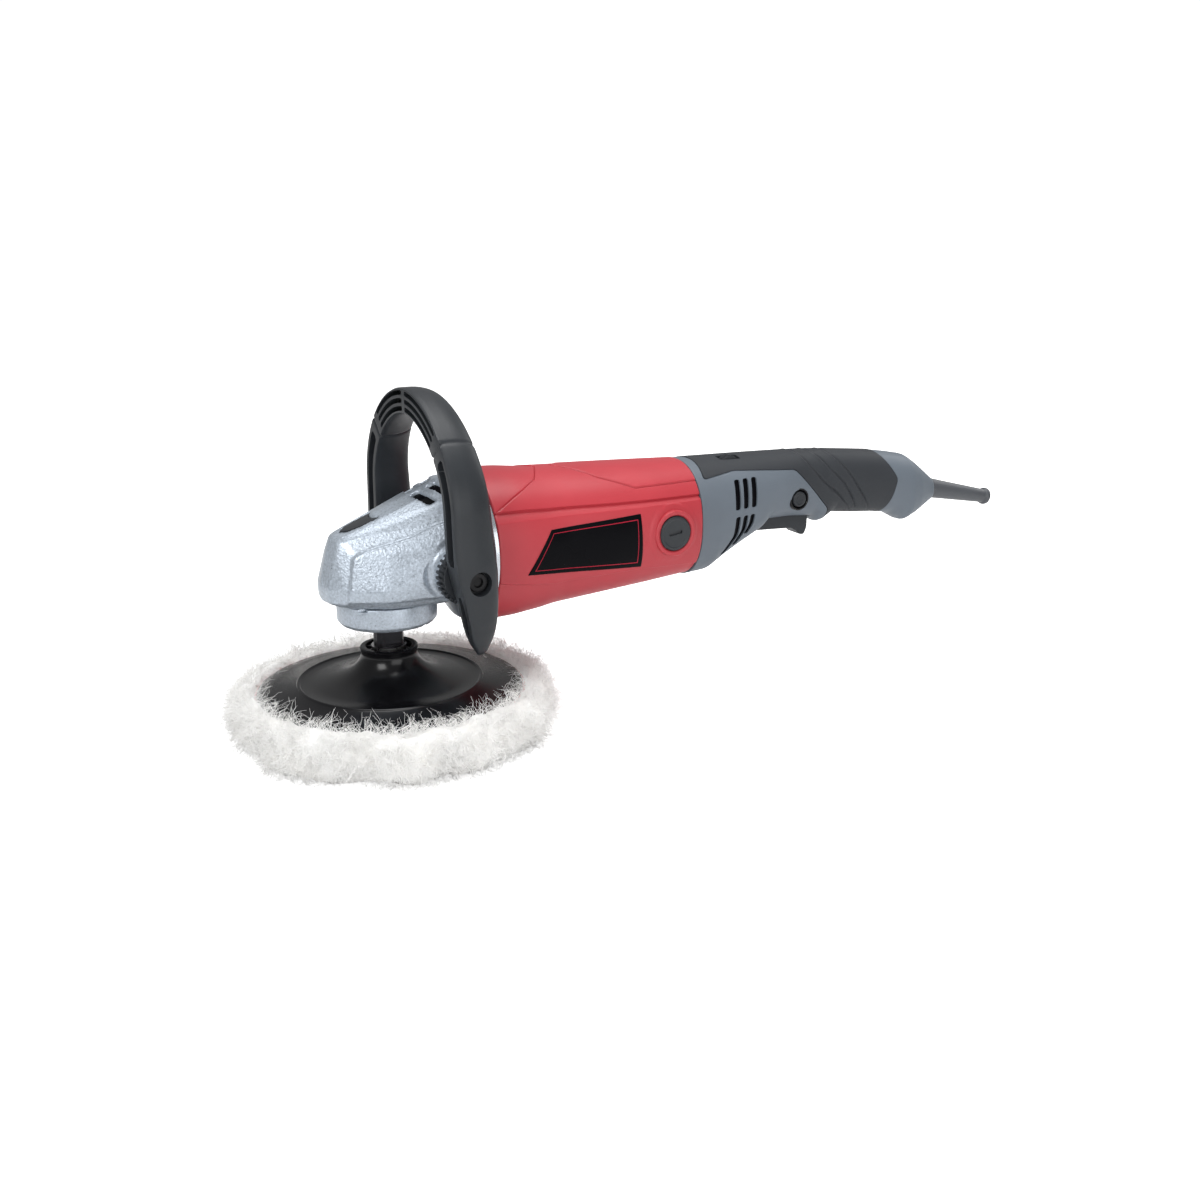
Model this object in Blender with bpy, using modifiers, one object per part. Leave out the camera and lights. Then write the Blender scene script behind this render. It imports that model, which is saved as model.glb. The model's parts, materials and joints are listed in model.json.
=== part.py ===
"""Rotary polisher with a wool bonnet, built as separate solids that could come apart on a bench.

Frame: the spindle axis is the Z axis, and Z = 0 is the working face of the wool bonnet. The motor
axis runs along X: +X points to the cord end, the nose of the gear head points to -X, the lock-on
button is on the -Y side, and +Z is up. Every size below is in millimetres, and the mesh helpers
turn millimetres into metres.
"""
import math

import bmesh
import bpy
from mathutils import Vector

MM = 0.001

# ---------------------------------------------------------------- driving dimensions, millimetres
GAP = 0.3                 # clearance between neighbouring solids
MOTOR_Z = 124.0           # height of the armature axis
PAD_RADIUS = 90.0         # 180 mm class backing pad
PAD_TOP = 33.0            # upper face of the pad at its rim
PAD_BOTTOM = 24.3
HUB_RADIUS = 19.6
HUB_TOP = 61.5
WOOL_RADIUS = 110.0
WOOL_TOP = 37.5
COVER_RADIUS = 33.3       # bearing cover under the gear head
COVER_BOTTOM = 79.6
HEAD_BOTTOM = 95.5        # underside of the gear housing

PINION_TEETH = 8
CROWN_TEETH = 32
MODULE = 1.625
PRESSURE_ANGLE = math.radians(25)
BACKLASH = 0.36
FACE_WIDTH = 8.0
CROWN_PITCH = MODULE * CROWN_TEETH / 2
PINION_PITCH = MODULE * PINION_TEETH / 2
CONE_DISTANCE = math.hypot(CROWN_PITCH, PINION_PITCH)
LOCK_RADIUS = 12.6        # circle of the lock holes in the crown gear

HEAD_REAR = 58.0          # rear face of the gear housing
HEAD_RADIUS = 51.0
MOTOR_FRONT = 61.4        # the red motor housing runs from here ...
MOTOR_REAR = 226.0        # ... to the seam with the rear handle
HANDLE_FRONT = 226.4
HANDLE_REAR = 467.0
HOUSING_SCREW_RING = 46.0

LOOP_X = 34.0             # the bolt axis of the loop handle
LOOP_Z = 119.2
LOOP_HALF_SPAN = 71.5     # centreline of a leg
LOOP_RISE = 106.0         # centreline of the arch above the bolt axis
LOOP_FRONT = 17.8         # plane of the ribbed front face
LOOP_SPACER = (52.0, 62.1)

BRUSH_X = 199.5
TRIGGER_PIVOT = (301.0, 0.0, 123.5)
LOCK_ON = (322.0, 131.0)  # X and Z of the lock-on button
DIAL = (266.0, -8.0, 158.8)
GUARD_ROOT = (467.0, 0.0, 120.6)
GUARD_TIP = (531.4, 0.0, 106.4)

# Outer shape of the motor housing: X, top Z, bottom Z, half width.
MOTOR_STATIONS = (
    (MOTOR_FRONT, 177.0, 71.0, 51.0), (84.0, 176.0, 71.5, 50.0), (104.0, 173.6, 73.5, 48.3),
    (114.0, 173.0, 75.2, 47.3), (150.0, 171.3, 77.6, 46.2), (190.0, 169.4, 80.0, 43.4),
    (MOTOR_REAR, 167.6, 82.2, 38.6))

# Outer shape of the rear handle, in the same four columns.
HANDLE_STATIONS = (
    (HANDLE_FRONT, 167.6, 82.2, 38.6), (243.0, 167.2, 83.0, 36.2), (258.0, 166.8, 91.5, 33.4),
    (275.0, 166.4, 99.5, 30.0), (292.0, 165.9, 107.0, 27.2), (300.0, 165.6, 114.5, 25.8),
    (322.0, 164.9, 114.3, 23.2), (343.0, 163.8, 112.0, 21.8), (351.0, 163.2, 106.5, 21.6),
    (362.0, 162.2, 113.6, 21.6), (385.0, 159.8, 110.8, 22.0), (405.0, 157.6, 109.0, 22.4),
    (421.0, 155.0, 106.0, 22.8), (436.0, 152.0, 98.0, 22.8), (446.0, 148.5, 101.0, 20.5),
    (466.5, 130.2, 111.2, 9.6))

# Side view of the soft grip on the handle, X and Z.
GRIP_OUTLINE = (
    (238.0, 176.0), (233.0, 156.2), (265.0, 159.5), (319.0, 154.0), (354.0, 118.0), (356.0, 96.0),
    (408.0, 96.0), (409.5, 111.0), (417.0, 137.0), (404.0, 158.5), (402.0, 176.0))

# The badge is a four-sided plate, X and Z, on a flat that lies this far from the motor axis.
BADGE_OUTLINE = ((82.0, 110.5), (173.5, 102.5), (172.0, 141.0), (101.0, 139.0))
BADGE_SEAT = 44.2
HANDLE_SCREWS = ((243.0, 120.0, 34.2), (425.0, 130.0, 20.5))   # X, Z and reach of each


# ---------------------------------------------------------------- materials and collections
def make_material(name, colour, roughness, metallic=0.0):
    """A plain Principled material in the colour of the real part."""
    material = bpy.data.materials.new(name)
    material.use_nodes = True
    shader = material.node_tree.nodes["Principled BSDF"]
    shader.inputs["Base Color"].default_value = (*colour, 1.0)
    shader.inputs["Roughness"].default_value = roughness
    shader.inputs["Metallic"].default_value = metallic
    material.diffuse_color = (*colour, 1.0)
    return material


def clear_scene():
    for old in list(bpy.data.objects):
        bpy.data.objects.remove(old)


def make_collection(name):
    collection = bpy.data.collections.new(name)
    bpy.context.scene.collection.children.link(collection)
    return collection


clear_scene()
PARTS = make_collection("rotary_polisher")
CUTTERS = make_collection("cutters")

CAST = make_material("hammered_silver_paint", (0.55, 0.60, 0.66), 0.38, 0.5)
STEEL = make_material("bright_steel", (0.62, 0.62, 0.62), 0.3, 1.0)
DARK_STEEL = make_material("blackened_steel", (0.03, 0.03, 0.035), 0.4, 0.8)
ALLOY = make_material("machined_alloy", (0.78, 0.79, 0.81), 0.35, 1.0)
BRASS = make_material("brass", (0.70, 0.48, 0.20), 0.35, 1.0)
COPPER = make_material("enamelled_copper", (0.50, 0.17, 0.07), 0.4, 0.8)
LAMINATE = make_material("core_laminate", (0.16, 0.16, 0.17), 0.5, 0.7)
CARBON = make_material("carbon", (0.02, 0.02, 0.02), 0.7)
RED = make_material("red_plastic", (0.62, 0.045, 0.055), 0.35)
GREY = make_material("grey_plastic", (0.17, 0.20, 0.23), 0.45)
CHARCOAL = make_material("charcoal_plastic", (0.045, 0.05, 0.056), 0.45)
SOFT = make_material("soft_grip_rubber", (0.06, 0.065, 0.075), 0.7)
GLOSS_BLACK = make_material("gloss_black_plastic", (0.012, 0.012, 0.014), 0.15)
BADGE = make_material("badge_foil", (0.01, 0.01, 0.012), 0.25)
HOOK = make_material("red_hook_layer", (0.55, 0.03, 0.04), 0.8)
WOOL = make_material("wool", (0.86, 0.83, 0.78), 0.95)
RUBBER = make_material("rubber", (0.05, 0.052, 0.058), 0.6)


# ---------------------------------------------------------------- mesh helpers
def add_object(name, mesh, material):
    """Puts a mesh in the scene: as a part when it has a material, otherwise as a cutter."""
    part = bpy.data.objects.new(name, mesh)
    if material:
        mesh.materials.append(material)
        PARTS.objects.link(part)
    else:
        part.hide_render = True
        part.display_type = "WIRE"
        CUTTERS.objects.link(part)
    return part


def from_bmesh(name, shape, material, smooth_degrees=None):
    """Turns a millimetre bmesh into a metre object with its faces pointing out."""
    bmesh.ops.recalc_face_normals(shape, faces=shape.faces)
    bmesh.ops.scale(shape, vec=(MM, MM, MM), verts=shape.verts)
    mesh = bpy.data.meshes.new(name)
    shape.to_mesh(mesh)
    shape.free()
    if smooth_degrees:
        mesh.shade_smooth()
        mesh.set_sharp_from_angle(angle=math.radians(smooth_degrees))
    return add_object(name, mesh, material)


def point_along(part, origin, axis):
    """Moves a part built about +Z so that its Z axis runs along axis from origin."""
    part.location = Vector(origin) * MM
    part.rotation_euler = Vector((0, 0, 1)).rotation_difference(Vector(axis)).to_euler()
    return part


def turned(name, profile, material=None, origin=(0, 0, 0), axis=(0, 0, 1), steps=32):
    """A turned solid. The (radius, height) profile runs down the outer side; one that starts and
    ends on the axis is solid, and any other one is closed into a ring."""
    count = len(profile)
    solid = profile[0][0] == 0 and profile[-1][0] == 0
    edges = [(i, i + 1) for i in range(count - 1)] + ([] if solid else [(count - 1, 0)])
    mesh = bpy.data.meshes.new(name)
    mesh.from_pydata([(r * MM, 0, h * MM) for r, h in profile], edges, [])
    part = point_along(add_object(name, mesh, material), origin, axis)
    screw = part.modifiers.new("turn", "SCREW")
    screw.steps = screw.render_steps = steps
    screw.use_merge_vertices = True
    screw.merge_threshold = 0.00001
    screw.use_smooth_shade = True
    return part


def rod(name, radius, low, high, material=None, origin=(0, 0, 0), axis=(0, 0, 1), steps=32):
    """A plain cylinder from low to high along axis."""
    profile = [(0, high), (radius, high), (radius, low), (0, low)]
    return turned(name, profile, material, origin, axis, steps)


def block(name, low, high, material=None, bevel=0.0):
    """A box between two corners, with its edges bevelled where asked."""
    shape = bmesh.new()
    bmesh.ops.create_cube(shape, size=1)
    centre = (Vector(low) + Vector(high)) / 2
    bmesh.ops.scale(shape, vec=Vector(high) - Vector(low), verts=shape.verts)
    bmesh.ops.translate(shape, vec=centre, verts=shape.verts)
    part = from_bmesh(name, shape, material)
    if bevel:
        rounding = part.modifiers.new("edges", "BEVEL")
        rounding.width = bevel * MM
        rounding.segments = 1
    return part


def prisms(name, outlines, low, high, material=None, plane="XZ", mirrored=False):
    """Flat outlines in one plane, each swept along the third axis from low to high, and also from
    -low to -high where mirrored."""
    place = {"XY": lambda u, v, w: (u, v, w), "XZ": lambda u, v, w: (u, w, v),
             "YZ": lambda u, v, w: (w, u, v)}[plane]
    sweep = {"XY": (0, 0, 1), "XZ": (0, 1, 0), "YZ": (1, 0, 0)}[plane]
    shape = bmesh.new()
    for side in ((1, -1) if mirrored else (1,)):
        for outline in outlines:
            face = shape.faces.new([shape.verts.new(place(u, v, low * side)) for u, v in outline])
            swept = bmesh.ops.extrude_face_region(shape, geom=[face])["geom"]
            moved = [item for item in swept if isinstance(item, bmesh.types.BMVert)]
            bmesh.ops.translate(shape, vec=Vector(sweep) * (high - low) * side, verts=moved)
    return from_bmesh(name, shape, material)


def posts(name, places, radius, low, high, axis="X"):
    """A cutter or union operand of several equal cylinders along one axis."""
    turn = {"X": Vector((1, 0, 0)), "Y": Vector((0, 1, 0)), "Z": Vector((0, 0, 1))}[axis]
    spin = Vector((0, 0, 1)).rotation_difference(turn).to_matrix()
    shape = bmesh.new()
    segments = 20 if radius > 6 else 8
    for place in places:
        made = bmesh.ops.create_cone(shape, cap_ends=True, segments=segments, radius1=radius,
                                     radius2=radius, depth=high - low)["verts"]
        bmesh.ops.rotate(shape, matrix=spin, verts=made)
        bmesh.ops.translate(shape, vec=Vector(place) + turn * (low + high) / 2, verts=made)
    return from_bmesh(name, shape, None)


def loft(name, rings, material=None, smooth_degrees=40):
    """Closed outlines with equal counts, joined one to the next and capped at both ends."""
    shape = bmesh.new()
    rows = [[shape.verts.new(point) for point in ring] for ring in rings]
    count = len(rings[0])
    for near, far in zip(rows, rows[1:]):
        for i in range(count):
            j = (i + 1) % count
            shape.faces.new((near[i], near[j], far[j], far[i]))
    shape.faces.new(rows[0])
    shape.faces.new(rows[-1])
    return from_bmesh(name, shape, material, smooth_degrees)


def tube(name, outer, inner, material=None):
    """A walled tube between two stacks of closed outlines."""
    shape = bmesh.new()
    skins = [[[shape.verts.new(point) for point in ring] for ring in rings]
             for rings in (outer, inner)]
    count = len(outer[0])
    for rows in skins:
        for near, far in zip(rows, rows[1:]):
            for i in range(count):
                j = (i + 1) % count
                shape.faces.new((near[i], near[j], far[j], far[i]))
    for end in (0, -1):
        for i in range(count):
            j = (i + 1) % count
            shape.faces.new((skins[0][end][i], skins[0][end][j], skins[1][end][j], skins[1][end][i]))
    return from_bmesh(name, shape, material, 40)


def combine(part, other, operation="DIFFERENCE"):
    """Adds an exact Boolean, whose operand is a cutter object."""
    step = part.modifiers.new(operation.lower(), "BOOLEAN")
    step.operation = operation
    step.solver = "EXACT"
    step.object = other
    return part


def weld(part):
    """Merges the near-coincident points that a Boolean leaves, before the next one."""
    step = part.modifiers.new("weld", "WELD")
    step.merge_threshold = 0.00001


def spring(name, radius, wire, turns, origin, axis, length, material):
    """A coil spring as an open wire along axis."""
    points_per_turn = 7
    count = int(turns * points_per_turn)
    curve = bpy.data.curves.new(name, "CURVE")
    curve.dimensions = "3D"
    curve.bevel_depth = wire / 2 * MM
    curve.bevel_resolution = 1
    curve.use_fill_caps = True
    spline = curve.splines.new("POLY")
    spline.points.add(count)
    for i, point in enumerate(spline.points):
        angle = math.tau * i / points_per_turn
        place = (radius * math.cos(angle), radius * math.sin(angle), length * i / count)
        point.co = (*(Vector(place) * MM), 1.0)
    curve.materials.append(material)
    part = bpy.data.objects.new(name, curve)
    PARTS.objects.link(part)
    return point_along(part, origin, axis)


def oval(x, top, bottom, half_width, inset=0.0, exponent=2.25, count=24):
    """A closed superellipse across the motor axis, shrunk by inset."""
    half_height = (top - bottom) / 2 - inset
    centre = (top + bottom) / 2
    ring = []
    for i in range(count):
        angle = math.tau * i / count
        c, s = math.cos(angle), math.sin(angle)
        y = (half_width - inset) * math.copysign(abs(c) ** (2 / exponent), c)
        z = centre + half_height * math.copysign(abs(s) ** (2 / exponent), s)
        ring.append((x, y, z))
    return ring


def half_oval(x, top, bottom, half_width, side, inset, count=9, exponent=2.3):
    """One half of a handle section from its top to its bottom, GAP / 2 clear of the split."""
    half_height = (top - bottom) / 2 - inset
    centre = (top + bottom) / 2
    ring = []
    for i in range(count):
        angle = math.pi / 2 - math.pi * i / (count - 1)
        c, s = max(math.cos(angle), 0.0), math.sin(angle)
        y = max((half_width - inset) * c ** (2 / exponent), GAP / 2)
        z = centre + half_height * math.copysign(abs(s) ** (2 / exponent), s)
        ring.append((x, side * y, z))
    return ring


def half_skin(name, stations, side, outer_inset, inner_inset, material=None):
    """Half of a handle-shaped skin, between two insets from the outer form."""
    rings = []
    for x, top, bottom, half_width in stations:
        outer = half_oval(x, top, bottom, half_width, side, outer_inset)
        inner = half_oval(x, top, bottom, half_width, side, inner_inset)
        rings.append(outer + inner[::-1])
    return loft(name, rings, material)


def grown(outline, distance):
    """A polygon outline moved outwards by distance, corner by corner."""
    count = len(outline)
    area = sum(outline[i - 1][0] * outline[i][1] - outline[i][0] * outline[i - 1][1]
               for i in range(count))
    sign = 1 if area > 0 else -1
    moved = []
    for i in range(count):
        before, here, after = (Vector(outline[j % count]) for j in (i - 1, i, i + 1))
        first, second = (here - before).normalized(), (after - here).normalized()
        normals = [Vector((edge.y, -edge.x)) * sign for edge in (first, second)]
        bisector = (normals[0] + normals[1]).normalized()
        moved.append(tuple(here + bisector * distance / max(bisector.dot(normals[0]), 0.4)))
    return moved


# ---------------------------------------------------------------- polishing pad and spindle
def build_pad():
    """Wool bonnet, hook layer, backing pad and its steel thread insert."""
    seat = PAD_BOTTOM - 2.6
    turned("wool_bonnet", [
        (0, seat), (PAD_RADIUS + 2.4, seat), (PAD_RADIUS + 2.4, PAD_TOP), (94.5, WOOL_TOP),
        (101, WOOL_TOP), (107.5, 32), (WOOL_RADIUS, 22), (109, 11), (104, 3.5), (96, 0), (0, 0)],
        WOOL, steps=32)
    turned("hook_layer", [
        (0, PAD_BOTTOM - GAP), (PAD_RADIUS + 1, PAD_BOTTOM - GAP), (PAD_RADIUS + 1, seat + GAP),
        (0, seat + GAP)], HOOK, steps=32)
    bore = 12.3
    turned("backing_pad", [
        (0, 30), (bore, 30), (bore, 57), (15.6, 57), (15.6, HUB_TOP), (18.8, HUB_TOP),
        (HUB_RADIUS, 60.6), (19.2, 55.5), (22, 50), (27.5, 45), (37, 41), (50, 38.4), (60, 37.2),
        (61, 37.9), (62.6, 37.9), (63.6, 36.8), (78, 34.9), (88.6, PAD_TOP), (PAD_RADIUS, 31.5),
        (PAD_RADIUS, 26), (88.6, PAD_BOTTOM), (0, PAD_BOTTOM)], GLOSS_BLACK, steps=32)
    turned("pad_insert", [
        (bore - GAP, 61.9), (bore - GAP, 30.3), (7.4, 30.3), (7.4, 61.9)], STEEL, steps=16)


def build_spindle():
    """Output spindle: thread, wrench collar, bearing seat, gear seat and top journal."""
    spindle = turned("spindle", [
        (0, 139.5), (4.5, 139.5), (5, 139), (5, 119), (6.2, 119), (6.2, 97.4), (7.5, 97.4),
        (7.5, 79.4), (10.2, 79.4), (10.2, 62.2), (7, 62.2), (7, 35), (6, 34), (0, 34)],
        DARK_STEEL, steps=16)
    flats = block("spindle_flats", (-14, 8.5, 64), (14, 14, 76))
    combine(spindle, flats)
    combine(spindle, block("spindle_flats_far", (-14, -14, 64), (14, -8.5, 76)))


def crown_tooth():
    """Half thickness of a crown tooth at its root and tip, and its height above the pitch cone."""
    half = math.pi * MODULE / 4 - BACKLASH / 4
    addendum, dedendum = 0.7 * MODULE, 0.95 * MODULE
    slope = math.tan(PRESSURE_ANGLE)
    return [(-dedendum, half + dedendum * slope), (addendum, half - addendum * slope)]


def pinion_tooth():
    """Half thickness of a pinion tooth on an involute flank, root to tip."""
    cone = math.atan2(PINION_PITCH, CROWN_PITCH)
    radius = PINION_PITCH / math.cos(cone)
    base = radius * math.cos(PRESSURE_ANGLE)
    at_pitch = (math.pi * MODULE / 4 - BACKLASH / 4) / radius
    pitch_involute = math.tan(PRESSURE_ANGLE) - PRESSURE_ANGLE
    flank = [(-0.95 * MODULE, (at_pitch + pitch_involute) * radius)]
    for r in (base, radius, radius + 0.36 * MODULE, radius + 0.7 * MODULE):
        angle = math.acos(min(base / r, 1.0))
        flank.append((r - radius, (at_pitch + pitch_involute - math.tan(angle) + angle) * radius))
    return flank


def bevel_ring(teeth, pitch_radius, flank, scale, phase):
    """One closed outline of bevel teeth about the apex, in (radius, angle, height to apex)."""
    cone = math.asin(pitch_radius / CONE_DISTANCE)
    distance = CONE_DISTANCE * scale
    ring = []
    for tooth in range(teeth):
        centre = math.tau * tooth / teeth + phase
        sides = [(lift, -half) for lift, half in flank] + [(lift, half) for lift, half in flank[::-1]]
        for lift, half in sides:
            tilt = cone + lift / CONE_DISTANCE
            ring.append((distance * math.sin(tilt), centre + half / pitch_radius,
                         distance * math.cos(tilt)))
    return ring


def build_gears():
    """Straight bevel pair with a common apex where the spindle and armature axes cross."""
    inner = 1 - FACE_WIDTH / CONE_DISTANCE

    def crown_point(radius, angle, height):
        return (radius * math.cos(angle), radius * math.sin(angle), MOTOR_Z - height)

    flank = crown_tooth()
    outer_ring = bevel_ring(CROWN_TEETH, CROWN_PITCH, flank, 1.0, 0.0)
    inner_ring = bevel_ring(CROWN_TEETH, CROWN_PITCH, flank, inner, 0.0)
    rim = CROWN_PITCH - 1.0
    back = [(rim, angle, MOTOR_Z - 111.5) for _, angle, _ in outer_ring]
    front_radius = (CROWN_PITCH - FACE_WIDTH) * 0.97
    front = [(front_radius, angle, MOTOR_Z - 116.6) for _, angle, _ in inner_ring]
    crown = loft("crown_gear", [[crown_point(*p) for p in ring]
                                for ring in (back, outer_ring, inner_ring, front)], STEEL, 30)
    combine(crown, rod("crown_hub", 9.0, 97.8, 115, steps=16), "UNION")
    combine(crown, rod("crown_bore", 6.5, 90, 130, steps=16))
    lock_holes = [(LOCK_RADIUS * math.cos(a), LOCK_RADIUS * math.sin(a), 0)
                  for a in (math.tau * i / 4 for i in range(4))]
    combine(crown, posts("crown_lock_holes", lock_holes, 2.8, 105, 125, "Z"))

    def pinion_point(radius, angle, height):
        return (height, radius * math.sin(angle), MOTOR_Z + radius * math.cos(angle))

    flank = pinion_tooth()
    half_pitch = math.pi + math.pi / PINION_TEETH
    outer_ring = bevel_ring(PINION_TEETH, PINION_PITCH, flank, 1.0, half_pitch)
    inner_ring = bevel_ring(PINION_TEETH, PINION_PITCH, flank, inner, half_pitch)
    rings = [[(2.2, angle, CROWN_PITCH - FACE_WIDTH - 0.2) for _, angle, _ in inner_ring],
             inner_ring, outer_ring,
             [(5.2, angle, CROWN_PITCH + 1.4) for _, angle, _ in outer_ring],
             [(5.2, angle, 38.5) for _, angle, _ in outer_ring]]
    pinion = loft("pinion_gear", [[pinion_point(*p) for p in ring] for ring in rings], STEEL, 30)
    combine(pinion, rod("pinion_bore", 3.7, 28.2, 40, origin=(0, 0, MOTOR_Z), axis=(1, 0, 0),
                        steps=16))


# ---------------------------------------------------------------- gear head
def head_points():
    """Corner points of the faceted gear housing, one side of its plane of symmetry."""
    layers = {
        HEAD_BOTTOM: ((-38, 0), (-36, 12), (-30, 20), (-10, 33), (2, 35), (26, 34.5)),
        102.0: ((-46.5, 0), (-44, 12), (-36, 21.5), (-12, 35), (5, 37.5), (29, 38)),
        110.0: ((-46, 0), (-43.5, 12), (-35, 22), (-12, 36), (6, 38.5), (31, 40)),
        132.0: ((-40, 0), (-37.5, 10), (-28, 18), (-5, 30), (10, 34), (36, 43)),
        141.0: ((-37, 0), (-34, 9), (-27, 14))}
    points = [(x, y, z) for z, outline in layers.items() for x, y in outline]
    points += [(-8, 0, 150.5), (-7, 15, 148), (10.5, 0, 157), (12, 19, 153.5)]
    for degrees in (90, 66, 42, 18, 0, -30):
        angle = math.radians(degrees)
        radius = HEAD_RADIUS - 1
        place = (radius * math.cos(angle), MOTOR_Z + radius * math.sin(angle))
        points += [(42.0, *place), (52.0, *place)]
    return points


def build_gear_housing():
    """Cast gear housing with its gear chamber, rear cavity, bolt bosses and roof slots."""
    shape = bmesh.new()
    for x, y, z in head_points():
        for side in ((1, -1) if y else (1,)):
            shape.verts.new((x, side * y, z))
    hull = bmesh.ops.convex_hull(shape, input=shape.verts)
    unused = [item for item in hull["geom_interior"] if isinstance(item, bmesh.types.BMVert)]
    bmesh.ops.delete(shape, geom=unused, context="VERTS")
    housing = from_bmesh("gear_housing", shape, CAST, 30)

    motor = (0, 0, MOTOR_Z)
    neck = turned("head_neck", [
        (0, HEAD_REAR), (HEAD_RADIUS, HEAD_REAR), (HEAD_RADIUS, 51.5), (38.5, 43.5), (27.5, 35),
        (0, 35)], origin=motor, axis=(1, 0, 0), steps=28)
    combine(housing, neck, "UNION")
    boss = rod("head_boss", 17, -51.7, 51.7, origin=(LOOP_X, 0, LOOP_Z), axis=(0, 1, 0), steps=20)
    combine(housing, boss, "UNION")

    chamber = turned("gear_chamber", [
        (0, 141), (8.3, 141), (8.3, 129), (27.6, 129), (27.6, 90), (0, 90)], steps=24)
    combine(housing, chamber)
    rear = turned("rear_cavity", [
        (0, 70), (44.5, 70), (44.5, 50), (40, 46), (24, 36), (8.5, 36), (8.5, 8), (0, 8)],
        origin=motor, axis=(1, 0, 0), steps=28)
    combine(housing, rear)
    weld(housing)
    bolt = rod("head_bolt_hole", 4.4, -60, 60, origin=(LOOP_X, 0, LOOP_Z), axis=(0, 1, 0), steps=12)
    combine(housing, bolt)
    combine(housing, posts("head_screw_pockets", screw_ring(HOUSING_SCREW_RING), 4.4, 20, 53))
    combine(housing, posts("head_screw_holes", screw_ring(HOUSING_SCREW_RING), 2.4, 50, 60))
    combine(housing, posts("cover_screw_holes", cover_screws(), 1.9, 94, 106, "Z"))
    combine(housing, prisms("lock_recess", [grown(lock_outline(), 0.4)], 139, 160, plane="XY"))
    combine(housing, rod("lock_pin_hole", 2.7, 120, 145, origin=(-LOCK_RADIUS, 0, 0), steps=10))
    slots = [[(x, y0), (x + 4.6, y0), (x + 4.6, y1), (x, y1)]
             for x in (22.5, 32.5) for y0, y1 in ((-17, -4), (4, 17))]
    combine(housing, prisms("roof_slots", slots, 138, 180, plane="XY"))


def screw_ring(radius):
    """Four places about the motor axis, at 45 degrees."""
    return [(0, radius * math.cos(a), MOTOR_Z + radius * math.sin(a))
            for a in (math.radians(45 + 90 * i) for i in range(4))]


def cover_screws():
    """Three places on the bearing cover, about the spindle axis."""
    return [(29.9 * math.cos(a), 29.9 * math.sin(a), 0)
            for a in (math.radians(180 + 120 * i) for i in range(3))]


def lock_outline():
    """Plan of the spindle lock button: a pointed shield with a notched rear edge."""
    return [(-29.5, 0), (-25, -5.2), (-18, -7.2), (-6, -7.6), (-8, -2.5), (-8, 2.5),
            (-6, 7.6), (-18, 7.2), (-25, 5.2)]


def build_gear_head_parts():
    """Bearing cover, spindle bearings, screws, and the plate that carries the front bearing."""
    cover = turned("bearing_cover", [
        (27.3, 98), (27.3, 95.2), (COVER_RADIUS, 95.2), (COVER_RADIUS, 81), (32, COVER_BOTTOM),
        (11.5, COVER_BOTTOM), (11.5, 82.6), (17.8, 82.6), (17.8, 98)], CAST, steps=32)
    combine(cover, posts("cover_holes", cover_screws(), 2.2, 70, 100, "Z"))
    combine(cover, posts("cover_counterbores", cover_screws(), 2.8, 70, 84.6, "Z"))
    for number, (x, y, _) in enumerate(cover_screws(), 1):
        turned(f"cover_screw_{number}", [
            (0, 105), (1.5, 105), (1.5, 84.3), (2.4, 84.3), (2.4, 81.4), (0, 81.4)], STEEL,
            origin=(x, y, 0), steps=8)
    turned("spindle_bearing", [(17.5, 94), (17.5, 82.9), (7.8, 82.9), (7.8, 94)], STEEL, steps=24)
    turned("spindle_bush", [(8, 140), (8, 130), (5.3, 130), (5.3, 140)], BRASS, steps=16)

    motor = (0, 0, MOTOR_Z)
    plate = turned("bearing_plate", [
        (HEAD_RADIUS, 61.1), (HEAD_RADIUS, HEAD_REAR + GAP), (44.2, HEAD_REAR + GAP), (44.2, 53),
        (18.6, 53), (18.6, 40.5), (6.2, 40.5), (6.2, 42), (15.3, 42), (15.3, 56), (40, 56),
        (40, 61.1)], ALLOY, motor, (1, 0, 0), steps=28)
    combine(plate, posts("plate_screw_holes", screw_ring(HOUSING_SCREW_RING), 2.4, 50, 65))
    for number, place in enumerate(screw_ring(HOUSING_SCREW_RING), 1):
        turned(f"housing_screw_{number}", [
            (0, 76), (1.9, 76), (1.9, 52.7), (4, 52.7), (4, 49.2), (0, 49.2)], STEEL, place,
            (1, 0, 0), steps=8)
    turned("front_bearing", [(15, 51.3), (15, 42.3), (5.2, 42.3), (5.2, 51.3)], STEEL, motor,
           (1, 0, 0), steps=20)


def build_spindle_lock():
    """Push button over a pin that drops into the crown gear, with its return spring."""
    outline = lock_outline()
    button = prisms("spindle_lock_button", [outline], 143.5, 156, CHARCOAL, "XY")
    slope = 9.5 / 29
    roof = [(x, 150.5 + slope * (x + 8) + 0.4) for x in (-45, 10)]
    combine(button, prisms("lock_button_top", [roof + [(10, 175), (-45, 175)]], -30, 30))
    pin = rod("lock_pin", 2.2, 119.6, 146, origin=(-LOCK_RADIUS, 0, 0), steps=10)
    combine(button, pin, "UNION")
    spring("spindle_lock_spring", 3.2, 0.7, 2, (-LOCK_RADIUS, 0, 139.6), (0, 0, 1), 3.4, STEEL)


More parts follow.
